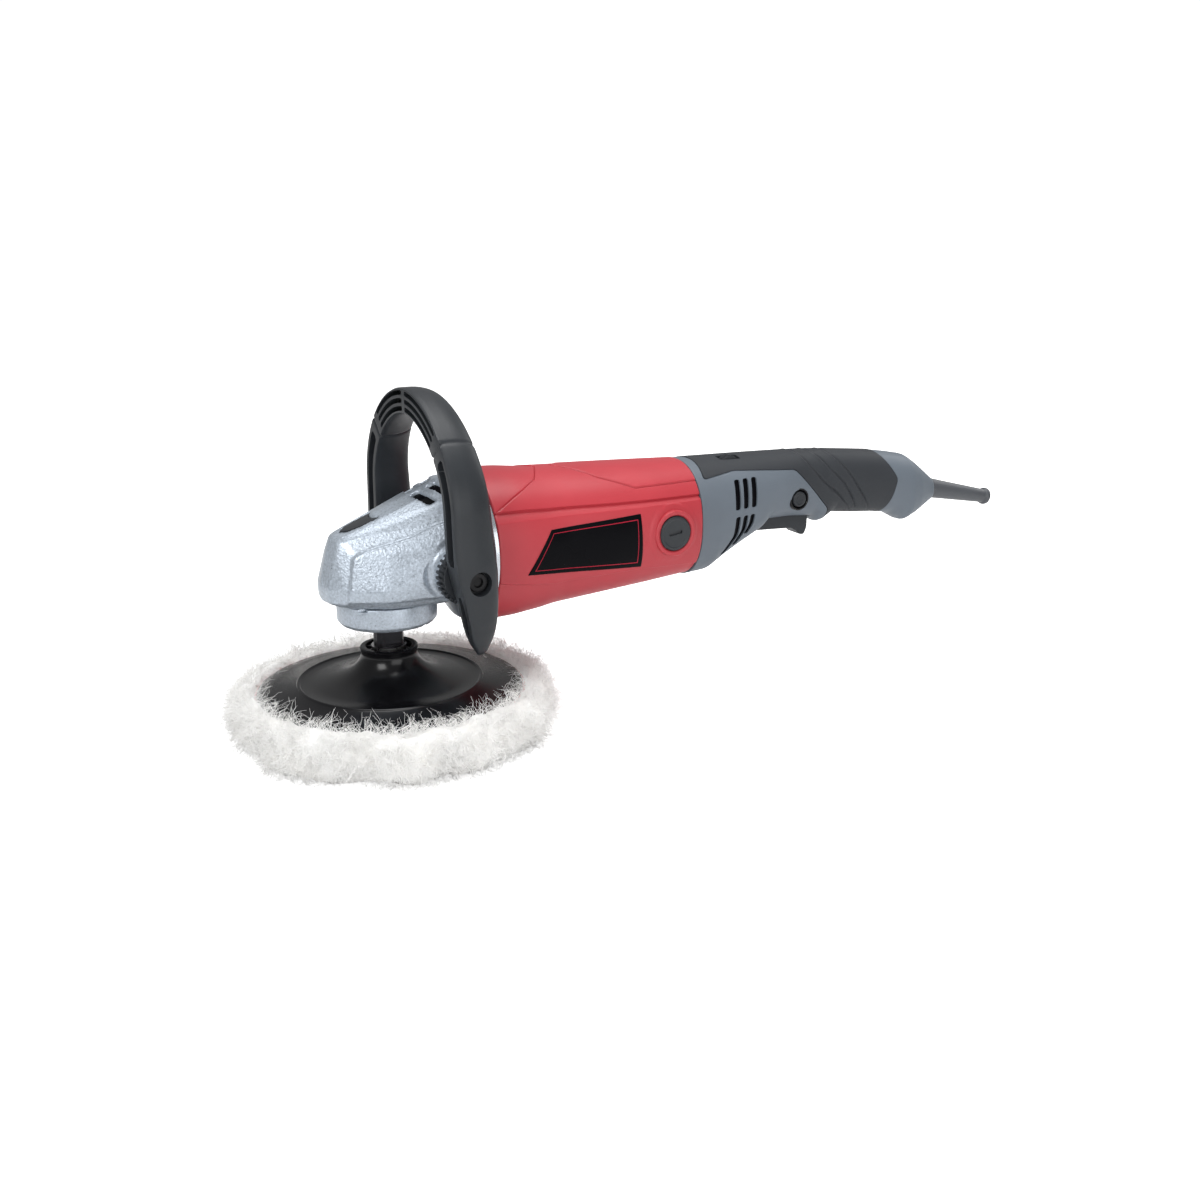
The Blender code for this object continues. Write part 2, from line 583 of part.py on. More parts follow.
# ---------------------------------------------------------------- motor
def build_motor():
    """Armature on its shaft, fan, bearings, stator with its coils, and the two brush sets."""
    motor = (0, 0, MOTOR_Z)
    along = (1, 0, 0)
    turned("armature_shaft", [
        (0, 222), (3.9, 222), (3.9, 212), (5.5, 212), (5.5, 51.8), (4.9, 51.8), (4.9, 40),
        (3.4, 38.2), (3.4, 28.6), (0, 28.6)], STEEL, motor, along, steps=16)
    turned("armature_core", [
        (15, 172), (18, 169), (18, 162), (22, 162), (22, 98), (18, 98), (18, 91), (15, 88),
        (5.8, 88), (5.8, 172)], LAMINATE, motor, along, steps=16)
    turned("commutator", [(12, 208), (12, 191), (10, 188), (10, 174), (5.8, 174), (5.8, 208)],
           COPPER, motor, along, steps=16)
    fan = turned("cooling_fan", [
        (39, 78), (39, 76), (12, 76), (12, 65), (5.8, 65), (5.8, 78)], CHARCOAL, motor, along,
        steps=20)
    combine(fan, prisms("fan_blades", [fan_blade(i) for i in range(10)], 66, 76.5, plane="YZ"),
            "UNION")
    turned("rear_bearing", [(11, 220), (11, 213), (4.2, 213), (4.2, 220)], STEEL, motor, along,
           steps=16)

    stator = turned("stator_core", [(41, 162), (41, 98), (23.3, 98), (23.3, 162)], LAMINATE, motor,
                    along, steps=32)
    windows = [arc_band(a, a + 22, 25.8, 33) for a in (28, 130, 208, 310)]
    combine(stator, prisms("coil_windows", windows, 90, 170, plane="YZ"))
    for name, start in (("field_coil_upper", 31), ("field_coil_lower", 211)):
        coil = prisms(name, [arc_band(start, start + 118, 26.3, 32.5, 12)], 89, 171, COPPER, "YZ")
        combine(coil, prisms(name + "_pole", [arc_band(start + 16, start + 102, 24, 35, 10)],
                             97.6, 162.4, plane="YZ"))

    for side, word in ((-1, "left"), (1, "right")):
        build_brush(side, word)


def fan_blade(index):
    """One straight blade of the fan, in Y and Z."""
    angle = math.tau * index / 10
    radial = Vector((math.cos(angle), math.sin(angle)))
    across = Vector((-radial.y, radial.x)) * 0.9
    corners = (radial * 11 - across, radial * 38 - across, radial * 38 + across, radial * 11 + across)
    return [(corner.x, corner.y + MOTOR_Z) for corner in corners]


def arc_band(start, end, inner, outer, steps=4):
    """A band of a ring about the motor axis between two angles, in Y and Z."""
    angles = [math.radians(start + (end - start) * i / steps) for i in range(steps + 1)]
    ring = [(outer * math.cos(a), outer * math.sin(a) + MOTOR_Z) for a in angles]
    return ring + [(inner * math.cos(a), inner * math.sin(a) + MOTOR_Z) for a in reversed(angles)]


def build_brush(side, word):
    """Brass holder, carbon brush and screw-in cap on one side of the commutator."""
    x, z = BRUSH_X, MOTOR_Z

    def span(near, far):
        return sorted((side * near, side * far))

    low, high = span(15, 35)
    holder = block(f"brush_holder_{word}", (x - 5.8, low, z - 6.8), (x + 5.8, high, z + 6.8), BRASS)
    low, high = span(10, 40)
    combine(holder, block(f"brush_bore_{word}", (x - 4.3, low, z - 5.3), (x + 4.3, high, z + 5.3)))
    low, high = span(12.4, 29)
    block(f"carbon_brush_{word}", (x - 4, low, z - 5), (x + 4, high, z + 5), CARBON)
    cap = turned(f"brush_cap_{word}", [
        (0, 46), (11.6, 46), (12.4, 45.2), (12.4, 41.5), (8, 41.5), (8, 36), (0, 36)], CHARCOAL,
        (x, 0, z), (0, side, 0), steps=20)
    low, high = span(44.6, 50)
    combine(cap, block(f"cap_slot_{word}", (x - 5, low, z - 0.8), (x + 5, high, z + 0.8)))


def build_motor_housing():
    """Red motor housing with brush bosses, screw bosses and the rear bearing seat."""
    outer = [oval(*station) for station in MOTOR_STATIONS]
    inner = [oval(*station, inset=3.0) for station in MOTOR_STATIONS]
    housing = tube("motor_housing", outer, inner, RED)
    motor = (0, 0, MOTOR_Z)
    along = (1, 0, 0)
    combine(housing, posts("motor_screw_bosses", screw_ring(HOUSING_SCREW_RING), 4.6, MOTOR_FRONT,
                           79), "UNION")
    combine(housing, posts("motor_screw_holes", screw_ring(HOUSING_SCREW_RING), 2.2, 60, 77))
    brushes = [(BRUSH_X, side * 43, MOTOR_Z) for side in (-1, 1)]
    bosses = posts("brush_bosses", [(BRUSH_X, side * 40.7, MOTOR_Z) for side in (-1, 1)], 16.3,
                   -4.7, 4.7, "Y")
    combine(housing, bosses, "UNION")
    combine(housing, posts("brush_holes", brushes, 12.8, -9, 9, "Y"))
    recess = prisms("badge_recesses", [grown(BADGE_OUTLINE, GAP)], BADGE_SEAT, 60, mirrored=True)
    combine(housing, recess)
    for side, word in ((-1, "left"), (1, "right")):
        low, high = sorted((side * (BADGE_SEAT + GAP), side * (BADGE_SEAT + 1.6)))
        prisms(f"badge_{word}", [BADGE_OUTLINE], low, high, BADGE)
    arm = 3.0
    reach = 40.0
    cross = [(arm, arm), (reach, arm), (reach, -arm), (arm, -arm), (arm, -reach), (-arm, -reach),
             (-arm, -arm), (-reach, -arm), (-reach, arm), (-arm, arm), (-arm, reach), (arm, reach)]
    arms = prisms("bearing_arms", [[(y, z + MOTOR_Z) for y, z in cross]], 213, 219, plane="YZ")
    combine(housing, arms, "UNION")
    combine(housing, rod("bearing_seat", 15, 212, 221, origin=motor, axis=along, steps=24), "UNION")
    combine(housing, rod("bearing_seat_bore", 11.3, 205, 225, origin=motor, axis=along, steps=24))


# ---------------------------------------------------------------- rear handle
def vent_outlines():
    """Six cooling slots in a handle shell, three upright and three that lean forwards."""
    upright = [[(x, 131), (x + 4, 131), (x + 4.4, 152.5), (x + 0.4, 152.5)]
               for x in (258.5, 266.5, 274.5)]
    leaning = [[(x, 125.5), (x + 4, 125.5), (x + 3, 116), (x + 3 - lean, low), (x - 1 - lean, low),
                (x - 1, 116)] for x, lean, low in ((258.5, 6, 97.5), (266, 4, 104), (273.5, 2, 111))]
    return upright + leaning


def build_handle():
    """Two handle shells with their soft grips, split on the plane of symmetry."""
    guard_axis = Vector(GUARD_TIP) - Vector(GUARD_ROOT)
    for side, word in ((-1, "left"), (1, "right")):
        def span(near, far, side=side):
            return sorted((side * near, side * far))

        shell = half_skin(f"handle_shell_{word}", HANDLE_STATIONS, side, 0.0, 3.4, GREY)
        recess = half_skin(f"grip_recess_{word}", HANDLE_STATIONS[:-2], side, -2.0, 1.8)
        combine(recess, prisms(f"grip_recess_outline_{word}", [grown(GRIP_OUTLINE, GAP)],
                               *span(-2, 60)), "INTERSECT")
        combine(shell, recess)
        combine(shell, prisms(f"vents_{word}", vent_outlines(), *span(15, 60)))
        slot_low, slot_high = span(-1, 8.6)
        combine(shell, block(f"trigger_slot_{word}", (290, slot_low, 90), (343.2, slot_high, 122)))
        combine(shell, rod(f"guard_hole_{word}", 8.6, -20, 10, origin=GUARD_ROOT, axis=guard_axis,
                           steps=16))
        grip = half_skin(f"soft_grip_{word}", HANDLE_STATIONS[:-2], side, 0.0, 1.5, SOFT)
        combine(grip, prisms(f"grip_outline_{word}", [GRIP_OUTLINE], *span(-2, 60)), "INTERSECT")
        if side < 0:
            button = rod("lock_on_hole", 6.0, -40, -10, origin=(LOCK_ON[0], 0, LOCK_ON[1]),
                         axis=(0, 1, 0), steps=20)
            combine(shell, button)
            window = block("dial_window", (DIAL[0] - 8.9, DIAL[1] - 4, 150),
                           (DIAL[0] + 8.9, DIAL[1] + 4, 175))
            combine(shell, window)
            combine(grip, window)
        else:
            places = [(x, 0, z) for x, z, _ in HANDLE_SCREWS]
            combine(shell, posts("handle_screw_holes", places, 2.2, 5, 60, "Y"))
            combine(grip, posts("grip_screw_holes", places, 2.2, 5, 60, "Y"))
            for number, (x, z, reach) in enumerate(HANDLE_SCREWS, 1):
                turned(f"handle_screw_{number}", [(0, reach), (1.9, reach), (1.9, 6), (0, 6)],
                       STEEL, (x, 0, z), (0, 1, 0), steps=8)


def build_controls():
    """Trigger with its pin and spring, switch body, lock-on button and speed wheel."""
    pivot = TRIGGER_PIVOT
    outline = [(297.5, 127), (294.5, 117), (295, 107), (327, 105.3), (334.5, 99.3), (338.5, 98.8),
               (341.5, 109), (341.5, 117), (335, 119.5), (307, 119.5), (304.5, 127)]
    trigger = prisms("trigger", [outline], -8, 8, CHARCOAL)
    combine(trigger, rod("trigger_pin_hole", 1.8, -20, 20, origin=pivot, axis=(0, 1, 0), steps=10))
    rod("trigger_pin", 1.5, -10.5, 10.5, STEEL, pivot, (0, 1, 0), steps=10)
    block("switch_body", (306.5, -9, 128), (346, 9, 150), CHARCOAL, bevel=1.0)
    spring("trigger_spring", 3.0, 0.8, 3, (330, 0, 120.4), (0, 0, 1), 7.0, STEEL)
    turned("lock_on_button", [(0, 24.2), (4.9, 24.2), (5.6, 23.4), (5.6, 13.5), (0, 13.5)], CHARCOAL,
           (LOCK_ON[0], 0, LOCK_ON[1]), (0, -1, 0), steps=20)
    dial = turned("speed_dial", [(9, 3.4), (9, -3.4), (1.5, -3.4), (1.5, 3.4)], CHARCOAL,
                  DIAL, (0, 1, 0), steps=20)
    combine(dial, rod("dial_dish", 6, 2.4, 5, origin=DIAL, axis=(0, 1, 0), steps=12))


def build_cord_entry():
    """Tapered cord guard with an open bore, and the bar that clamps the cord inside the tail."""
    axis = Vector(GUARD_TIP) - Vector(GUARD_ROOT)
    length = axis.length
    turned("cord_guard", [
        (6.4, length), (6.9, length - 0.8), (6.9, length - 3), (5.7, length - 4.2), (8.0, 2),
        (8.2, -11), (9.6, -11.5), (9.6, -14), (4.0, -14), (4.0, length)], RUBBER,
        GUARD_ROOT, axis, steps=16)
    clamp = block("cord_clamp", (424, -10, 115), (433, 10, 118.5), ALLOY, bevel=0.6)
    places = [(428.5, y, 0) for y in (-7, 7)]
    combine(clamp, posts("clamp_screw_holes", places, 1.8, 105, 120, "Z"))
    for number, place in enumerate(places, 1):
        turned(f"clamp_screw_{number}", [
            (0, 121.4), (2.8, 121.4), (2.8, 118.8), (1.5, 118.8), (1.5, 111), (0, 111)], STEEL, place,
            steps=8)


# ---------------------------------------------------------------- loop handle
def loop_path():
    """Stations along the loop, near tail to far tail: (y, height above the bolts, thickness)."""
    leg = [(68.8, -48.6, 5.0), (70.3, -44.5, 9.5), (71.6, -34, 15.0), (72.6, -20, 18.0),
           (73.3, -11, 18.6), (73.4, 11, 19.0), (72.6, 22, 19.0), (LOOP_HALF_SPAN, 43, 19.0)]
    base = 43.0
    arch = []
    steps = 12
    for i in range(1, steps):
        angle = math.pi * i / steps
        c, s = math.cos(angle), math.sin(angle)
        y = LOOP_HALF_SPAN * math.copysign(abs(c) ** (2 / 1.85), c)
        rise = base + (LOOP_RISE - base) * s ** (2 / 1.85)
        arch.append((y, rise, 19.0 - 2.0 * s))
    near = [(-y, rise, thick) for y, rise, thick in leg]
    return near + [(-y, rise, thick) for y, rise, thick in arch] + leg[::-1]


def build_loop_handle():
    """Loop handle: an arch of channel section whose legs end in tapered tails below the bolts."""
    path = loop_path()
    rings = []
    for i, (y, rise, thick) in enumerate(path):
        before, after = path[max(i - 1, 0)], path[min(i + 1, len(path) - 1)]
        tangent = Vector((after[0] - before[0], after[1] - before[1])).normalized()
        outward = Vector((-tangent.y, tangent.x))
        depth = 31.0 - 7.0 * max(rise, 0) / LOOP_RISE
        if rise < -20:
            depth = 31.0 - 13.0 * ((-rise - 20) / 29) ** 2
        front = LOOP_FRONT + (31.0 - depth) * (0.55 if rise < 0 else 0.0)
        half = thick / 2
        plain = abs(rise) <= 12 or rise < -40
        groove = 1.0 if plain else 12.0
        channel = min(3.4, half * 0.4)
        edge = min(1.0, half * 0.3)
        section = [(-half + edge, 0), (-channel, 0), (-channel, groove), (channel, groove), (channel, 0),
                   (half - edge, 0), (half, 2), (half, depth * 0.6), (half * 0.8, depth * 0.86),
                   (half * 0.3, depth), (-half * 0.3, depth), (-half * 0.8, depth * 0.86),
                   (-half, depth * 0.6), (-half, 2)]
        rings.append([(front + x, y + u * outward.x, LOOP_Z + rise + u * outward.y)
                      for u, x in section])
    handle = loft("loop_handle", rings, CHARCOAL)
    origin = (LOOP_X, 0, LOOP_Z)
    inner, outer = LOOP_SPACER

    def both_sides(near, far):
        return [(LOOP_X, side * (near + far) / 2, LOOP_Z) for side in (-1, 1)]

    half = (70 - outer - GAP) / 2
    combine(handle, posts("loop_bosses", both_sides(outer + GAP, 70), 12.2, -half, half, "Y"), "UNION")
    combine(handle, posts("loop_bolt_recesses", both_sides(74, 94), 7.2, -10, 10, "Y"))
    combine(handle, rod("loop_bolt_holes", 4.4, -85, 85, origin=origin, axis=(0, 1, 0), steps=12))
    for side, word in ((-1, "left"), (1, "right")):
        axis = (0, side, 0)
        turned(f"loop_spacer_{word}", [
            (15.5, outer), (17, outer - 1.5), (17, inner + 1.5), (15.5, inner), (4.4, inner),
            (4.4, outer)], CHARCOAL, origin, axis, steps=20)
        turned(f"loop_bolt_{word}", [
            (0, 81), (6.4, 81), (6.4, 74.4), (4, 74.4), (4, 39), (0, 39)], DARK_STEEL, origin, axis,
            steps=12)


# ---------------------------------------------------------------- assembly
build_pad()
build_spindle()
build_gears()
build_gear_housing()
build_gear_head_parts()
build_spindle_lock()
build_motor()
build_motor_housing()
build_handle()
build_controls()
build_cord_entry()
build_loop_handle()
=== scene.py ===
"""Looks of a rotary polisher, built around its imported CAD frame.

Frame: metres in Blender, millimetres in this file's own sizes. The spindle axis is Z, the motor
axis runs along X at MOTOR_Z, the working face of the wool is Z = 0, and the side with the lock-on
button is -Y. Each sub-assembly is a class that builds and dresses its own pieces.
"""
from __future__ import annotations

import functools
import json
import logging
import math
from dataclasses import dataclass, field
from enum import Enum
from typing import Callable, Optional, Sequence

import bmesh
import bpy
import numpy as np
from mathutils import Matrix, Vector, noise

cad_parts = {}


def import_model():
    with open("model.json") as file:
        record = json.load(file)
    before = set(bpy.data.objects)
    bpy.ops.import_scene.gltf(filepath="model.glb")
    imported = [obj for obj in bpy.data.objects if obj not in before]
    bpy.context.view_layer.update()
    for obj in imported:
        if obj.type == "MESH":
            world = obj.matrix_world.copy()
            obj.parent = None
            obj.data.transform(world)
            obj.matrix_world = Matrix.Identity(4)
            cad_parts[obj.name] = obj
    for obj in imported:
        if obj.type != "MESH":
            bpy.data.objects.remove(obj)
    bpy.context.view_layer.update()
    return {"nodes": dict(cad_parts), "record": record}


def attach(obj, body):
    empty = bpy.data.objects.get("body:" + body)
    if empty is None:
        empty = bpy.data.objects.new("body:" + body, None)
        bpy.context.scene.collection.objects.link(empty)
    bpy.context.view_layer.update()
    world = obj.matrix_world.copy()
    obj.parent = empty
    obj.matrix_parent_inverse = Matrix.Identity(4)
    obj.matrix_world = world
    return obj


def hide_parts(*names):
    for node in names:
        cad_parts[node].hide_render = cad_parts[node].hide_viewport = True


LOG = logging.getLogger("polisher")
MM = 0.001
MOTOR_Z = 124.0
LOOP_X, LOOP_Z = 34.0, 119.2
NOISE_SEED = 5
SIDES = ((-1, "left"), (1, "right"))
Point = tuple[float, float, float]
Flat = tuple[float, float]


# ---------------------------------------------------------------- shader groups and finishes
class Grain(Enum):
    """The relief that a finish has on its surface."""

    MOULDED = "moulded_grain"
    HAMMERED = "hammered_relief"
    BRUSHED = "brushed_lines"
    FLEECE = "fleece_strands"


def new_group(name: str, scales: dict[str, float]) -> tuple[bpy.types.NodeTree, dict]:
    """Starts a shader group with a Vector input, float inputs, and Height and Mask outputs.

    Args:
        name: name of the group.
        scales: the float inputs and their default values.

    Returns:
        The tree, and a dictionary with its input and output nodes.
    """
    tree = bpy.data.node_groups.new(name, "ShaderNodeTree")
    tree.interface.new_socket("Vector", in_out="INPUT", socket_type="NodeSocketVector")
    for label, value in scales.items():
        socket = tree.interface.new_socket(label, in_out="INPUT", socket_type="NodeSocketFloat")
        socket.default_value = value
    for label in ("Height", "Mask"):
        tree.interface.new_socket(label, in_out="OUTPUT", socket_type="NodeSocketFloat")
    return tree, {"in": tree.nodes.new("NodeGroupInput"), "out": tree.nodes.new("NodeGroupOutput")}


def math_node(tree: bpy.types.NodeTree, operation: str, *values: object) -> bpy.types.NodeSocket:
    """Adds a Math node fed by numbers or sockets, and returns its output."""
    node = tree.nodes.new("ShaderNodeMath")
    node.operation = operation
    for socket, value in zip(node.inputs, values):
        if isinstance(value, bpy.types.NodeSocket):
            tree.links.new(value, socket)
        else:
            socket.default_value = value
    return node.outputs[0]


def noise_of(tree: bpy.types.NodeTree, vector: bpy.types.NodeSocket, scale: object,
             detail: float = 3.0, roughness: float = 0.55) -> bpy.types.NodeSocket:
    """Adds a noise texture on a vector and returns its value."""
    node = tree.nodes.new("ShaderNodeTexNoise")
    node.inputs["Detail"].default_value = detail
    node.inputs["Roughness"].default_value = roughness
    tree.links.new(vector, node.inputs["Vector"])
    if isinstance(scale, bpy.types.NodeSocket):
        tree.links.new(scale, node.inputs["Scale"])
    else:
        node.inputs["Scale"].default_value = scale
    return node.outputs["Fac"]


def moulded_group() -> bpy.types.NodeTree:
    """Fine spark-eroded grain over a slow unevenness of the moulding."""
    tree, ends = new_group(Grain.MOULDED.value, {"Scale": 1500.0, "Slow": 22.0})
    vector = ends["in"].outputs["Vector"]
    fine = noise_of(tree, vector, ends["in"].outputs["Scale"], 2.0)
    slow = noise_of(tree, vector, ends["in"].outputs["Slow"], 3.0)
    tree.links.new(fine, ends["out"].inputs["Height"])
    tree.links.new(slow, ends["out"].inputs["Mask"])
    return tree


def hammered_group() -> bpy.types.NodeTree:
    """Shallow dimples of hammered enamel, with flecks where the metal flake gathers."""
    tree, ends = new_group(Grain.HAMMERED.value, {"Scale": 620.0, "Slow": 380.0})
    vector = ends["in"].outputs["Vector"]
    cells = tree.nodes.new("ShaderNodeTexVoronoi")
    cells.feature = "SMOOTH_F1"
    cells.inputs["Smoothness"].default_value = 0.6
    tree.links.new(vector, cells.inputs["Vector"])
    tree.links.new(ends["in"].outputs["Scale"], cells.inputs["Scale"])
    ripple = noise_of(tree, vector, ends["in"].outputs["Slow"], 2.0)
    height = math_node(tree, "MULTIPLY_ADD", cells.outputs["Distance"], 0.7, ripple)
    tree.links.new(height, ends["out"].inputs["Height"])
    fleck = noise_of(tree, vector, ends["in"].outputs["Scale"], 4.0, 0.7)
    tree.links.new(fleck, ends["out"].inputs["Mask"])
    return tree


def brushed_group() -> bpy.types.NodeTree:
    """Turning and grinding lines, drawn as noise squeezed along one direction."""
    tree, ends = new_group(Grain.BRUSHED.value, {"Scale": 900.0, "Slow": 60.0})
    squeeze = tree.nodes.new("ShaderNodeVectorMath")
    squeeze.operation = "MULTIPLY"
    squeeze.inputs[1].default_value = (0.06, 0.06, 1.0)
    tree.links.new(ends["in"].outputs["Vector"], squeeze.inputs[0])
    line = noise_of(tree, squeeze.outputs[0], ends["in"].outputs["Scale"], 2.0)
    slow = noise_of(tree, ends["in"].outputs["Vector"], ends["in"].outputs["Slow"], 2.0)
    tree.links.new(line, ends["out"].inputs["Height"])
    tree.links.new(slow, ends["out"].inputs["Mask"])
    return tree


def fleece_group() -> bpy.types.NodeTree:
    """Tangled strands of a fleece: thin ridges of warped noise, and shade between the locks."""
    tree, ends = new_group(Grain.FLEECE.value, {"Scale": 260.0, "Slow": 70.0})
    vector = ends["in"].outputs["Vector"]
    strands = noise_of(tree, vector, ends["in"].outputs["Scale"], 5.0, 0.7)
    ridge = math_node(tree, "ABSOLUTE", math_node(tree, "SUBTRACT", strands, 0.5))
    height = math_node(tree, "MULTIPLY_ADD", ridge, -3.0, 1.0)
    tree.links.new(height, ends["out"].inputs["Height"])
    tree.links.new(noise_of(tree, vector, ends["in"].outputs["Slow"], 3.0), ends["out"].inputs["Mask"])
    return tree


GROUP_MAKERS: dict[Grain, Callable[[], bpy.types.NodeTree]] = {
    Grain.MOULDED: moulded_group, Grain.HAMMERED: hammered_group,
    Grain.BRUSHED: brushed_group, Grain.FLEECE: fleece_group}


@dataclass(frozen=True)
class Finish:
    """A surface finish: colour, gloss and relief, and the record's material slot it stands for."""

    name: str
    slot: str
    colour: Point
    roughness: float
    metallic: float = 0.0
    grain: Grain = Grain.MOULDED
    scale: float = 1500.0
    slow: float = 22.0
    depth_mm: float = 0.02
    shade: float = 0.06
    coat: float = 0.0
    sheen: float = 0.0
    specular: float = 0.5
    patchiness: float = 0.05

    def build(self) -> bpy.types.Material:
        """Makes the node material, or returns it when it is already there."""
        ready = bpy.data.materials.get(self.name)
        if ready:
            return ready
        material = bpy.data.materials.new(self.name)
        material.use_nodes = True
        tree = material.node_tree
        shader = tree.nodes["Principled BSDF"]
        shader.inputs["Metallic"].default_value = self.metallic
        shader.inputs["Specular IOR Level"].default_value = self.specular
        shader.inputs["Coat Weight"].default_value = self.coat
        shader.inputs["Coat Roughness"].default_value = 0.12
        shader.inputs["Sheen Weight"].default_value = self.sheen
        shader.inputs["Sheen Roughness"].default_value = 0.4
        group = tree.nodes.new("ShaderNodeGroup")
        group.node_tree = bpy.data.node_groups.get(self.grain.value) or GROUP_MAKERS[self.grain]()
        group.inputs["Scale"].default_value = self.scale
        group.inputs["Slow"].default_value = self.slow
        place = tree.nodes.new("ShaderNodeTexCoord")
        tree.links.new(place.outputs["Object"], group.inputs["Vector"])
        self._tint(tree, shader, group)
        self._gloss(tree, shader, group)
        bump = tree.nodes.new("ShaderNodeBump")
        bump.inputs["Distance"].default_value = self.depth_mm * MM
        tree.links.new(group.outputs["Height"], bump.inputs["Height"])
        tree.links.new(bump.outputs["Normal"], shader.inputs["Normal"])
        material.diffuse_color = (*self.colour, 1.0)
        return material

    def _tint(self, tree: bpy.types.NodeTree, shader: bpy.types.Node, group: bpy.types.Node) -> None:
        """Varies the base colour a little with the relief's mask."""
        ramp = tree.nodes.new("ShaderNodeValToRGB")
        dark, light = ramp.color_ramp.elements
        dark.position, light.position = 0.3, 0.7
        dark.color = (*(max(c * (1 - self.shade), 0.0) for c in self.colour), 1.0)
        light.color = (*(min(c * (1 + self.shade), 1.0) for c in self.colour), 1.0)
        tree.links.new(group.outputs["Mask"], ramp.inputs["Fac"])
        tree.links.new(ramp.outputs["Color"], shader.inputs["Base Color"])

    def _gloss(self, tree: bpy.types.NodeTree, shader: bpy.types.Node, group: bpy.types.Node) -> None:
        """Varies the roughness a little with the relief's mask."""
        spread = tree.nodes.new("ShaderNodeMapRange")
        spread.inputs["From Min"].default_value = 0.3
        spread.inputs["From Max"].default_value = 0.7
        spread.inputs["To Min"].default_value = max(self.roughness - self.patchiness, 0.03)
        spread.inputs["To Max"].default_value = min(self.roughness + self.patchiness, 1.0)
        tree.links.new(group.outputs["Mask"], spread.inputs["Value"])
        tree.links.new(spread.outputs["Result"], shader.inputs["Roughness"])


CAST = Finish("hammered_silver_enamel", "hammered_paint", (0.40, 0.45, 0.51), 0.36, 0.5,
              Grain.HAMMERED, 620, 380, 0.16, 0.28, 0.2, patchiness=0.1)
RIM = Finish("polished_flange", "machined_alloy", (0.55, 0.58, 0.62), 0.25, 0.9, Grain.BRUSHED, 900, 60)
RED = Finish("satin_red_moulding", "red_plastic", (0.42, 0.030, 0.042), 0.42, scale=1800, depth_mm=0.012,
             shade=0.05, specular=0.45)
GREY = Finish("blue_grey_moulding", "grey_plastic", (0.118, 0.140, 0.166), 0.48, scale=1500,
              depth_mm=0.02, shade=0.05, specular=0.35)
CHARCOAL = Finish("satin_charcoal_moulding", "charcoal_plastic", (0.020, 0.023, 0.027), 0.42,
                  scale=1400, depth_mm=0.02, shade=0.08, specular=0.32)
SLOT_BLACK = Finish("slate_cap_moulding", "charcoal_plastic", (0.024, 0.027, 0.031), 0.40,
                    scale=1400, depth_mm=0.012, specular=0.35)
SOFT = Finish("soft_grip_elastomer", "soft_grip", (0.024, 0.027, 0.032), 0.60, scale=1100,
              depth_mm=0.035, shade=0.08, specular=0.35)
GLOSS_BLACK = Finish("polished_black_moulding", "gloss_black", (0.004, 0.004, 0.005), 0.23, scale=300,
                     depth_mm=0.004, shade=0.1, specular=0.3, patchiness=0.03)
# Near-black badge film, the badge's own colour; the same finish also paints shade as near-black sheets in
# the roof slots and behind the handle vents.
BADGE_AND_SHADE_BLACK = Finish("black_badge_film_and_painted_shade", "badge", (0.002, 0.002, 0.003), 0.3, scale=900, depth_mm=0.004,
               specular=0.06)
BADGE_LINE = Finish("red_badge_border", "badge", (0.36, 0.015, 0.035), 0.3, scale=900, depth_mm=0.004,
                    specular=0.1)
HOOK = Finish("red_hook_strip", "red_hook", (0.60, 0.03, 0.035), 0.8, grain=Grain.FLEECE, scale=900,
              slow=200, depth_mm=0.3)
WOOL = Finish("cream_wool", "wool", (1.0, 0.985, 0.955), 0.85, grain=Grain.FLEECE, scale=260, slow=60,
              depth_mm=0.8, shade=0.04, sheen=0.6)
WOOL_FIBRE = Finish("wool_fibre", "wool", (1.0, 0.99, 0.97), 0.7, grain=Grain.FLEECE, scale=500,
                    slow=45, depth_mm=0.02, shade=0.02, sheen=0.6)
RUBBER = Finish("satin_guard_rubber", "guard_rubber", (0.062, 0.067, 0.076), 0.45, scale=1200,
                depth_mm=0.02)
DARK_STEEL = Finish("blackened_steel", "dark_steel", (0.020, 0.020, 0.023), 0.32, 0.8, Grain.BRUSHED,
                    900, 60)
BOLT_BLACK = Finish("black_oxide_bolt", "dark_steel", (0.008, 0.008, 0.009), 0.5, scale=900,
                    specular=0.25)
STEEL = Finish("ground_steel", "bright_steel", (0.62, 0.62, 0.62), 0.28, 1.0, Grain.BRUSHED, 900, 60)
ALLOY = Finish("machined_alloy", "machined_alloy", (0.78, 0.79, 0.81), 0.32, 1.0, Grain.BRUSHED)
BRASS = Finish("drawn_brass", "brass", (0.70, 0.48, 0.20), 0.32, 1.0, Grain.BRUSHED)
COPPER = Finish("enamelled_copper", "copper", (0.50, 0.17, 0.07), 0.35, 0.8, Grain.BRUSHED, 2500)
LAMINATE = Finish("core_laminate", "laminate", (0.12, 0.12, 0.13), 0.5, 0.6, Grain.BRUSHED, 3000)
CARBON = Finish("pressed_carbon", "carbon", (0.015, 0.015, 0.015), 0.65)
PLAIN_FINISHES = {f.slot: f for f in (CAST, STEEL, DARK_STEEL, ALLOY, BRASS, COPPER, LAMINATE, CARBON,
                                      RED, GREY, CHARCOAL, SOFT, GLOSS_BLACK, BADGE_AND_SHADE_BLACK, HOOK, WOOL,
                                      RUBBER)}


# ---------------------------------------------------------------- mesh helpers
def new_object(name: str, data: bpy.types.ID) -> bpy.types.Object:
    """An object made from a mesh, camera or lamp, linked to the scene."""
    made = bpy.data.objects.new(name, data)
    bpy.context.scene.collection.objects.link(made)
    return made


def across(side: int, near: float, far: float) -> tuple[float, float]:
    """The range of Y between two distances from the plane of symmetry, on one side of it."""
    low, high = sorted((side * near, side * far))
    return low, high


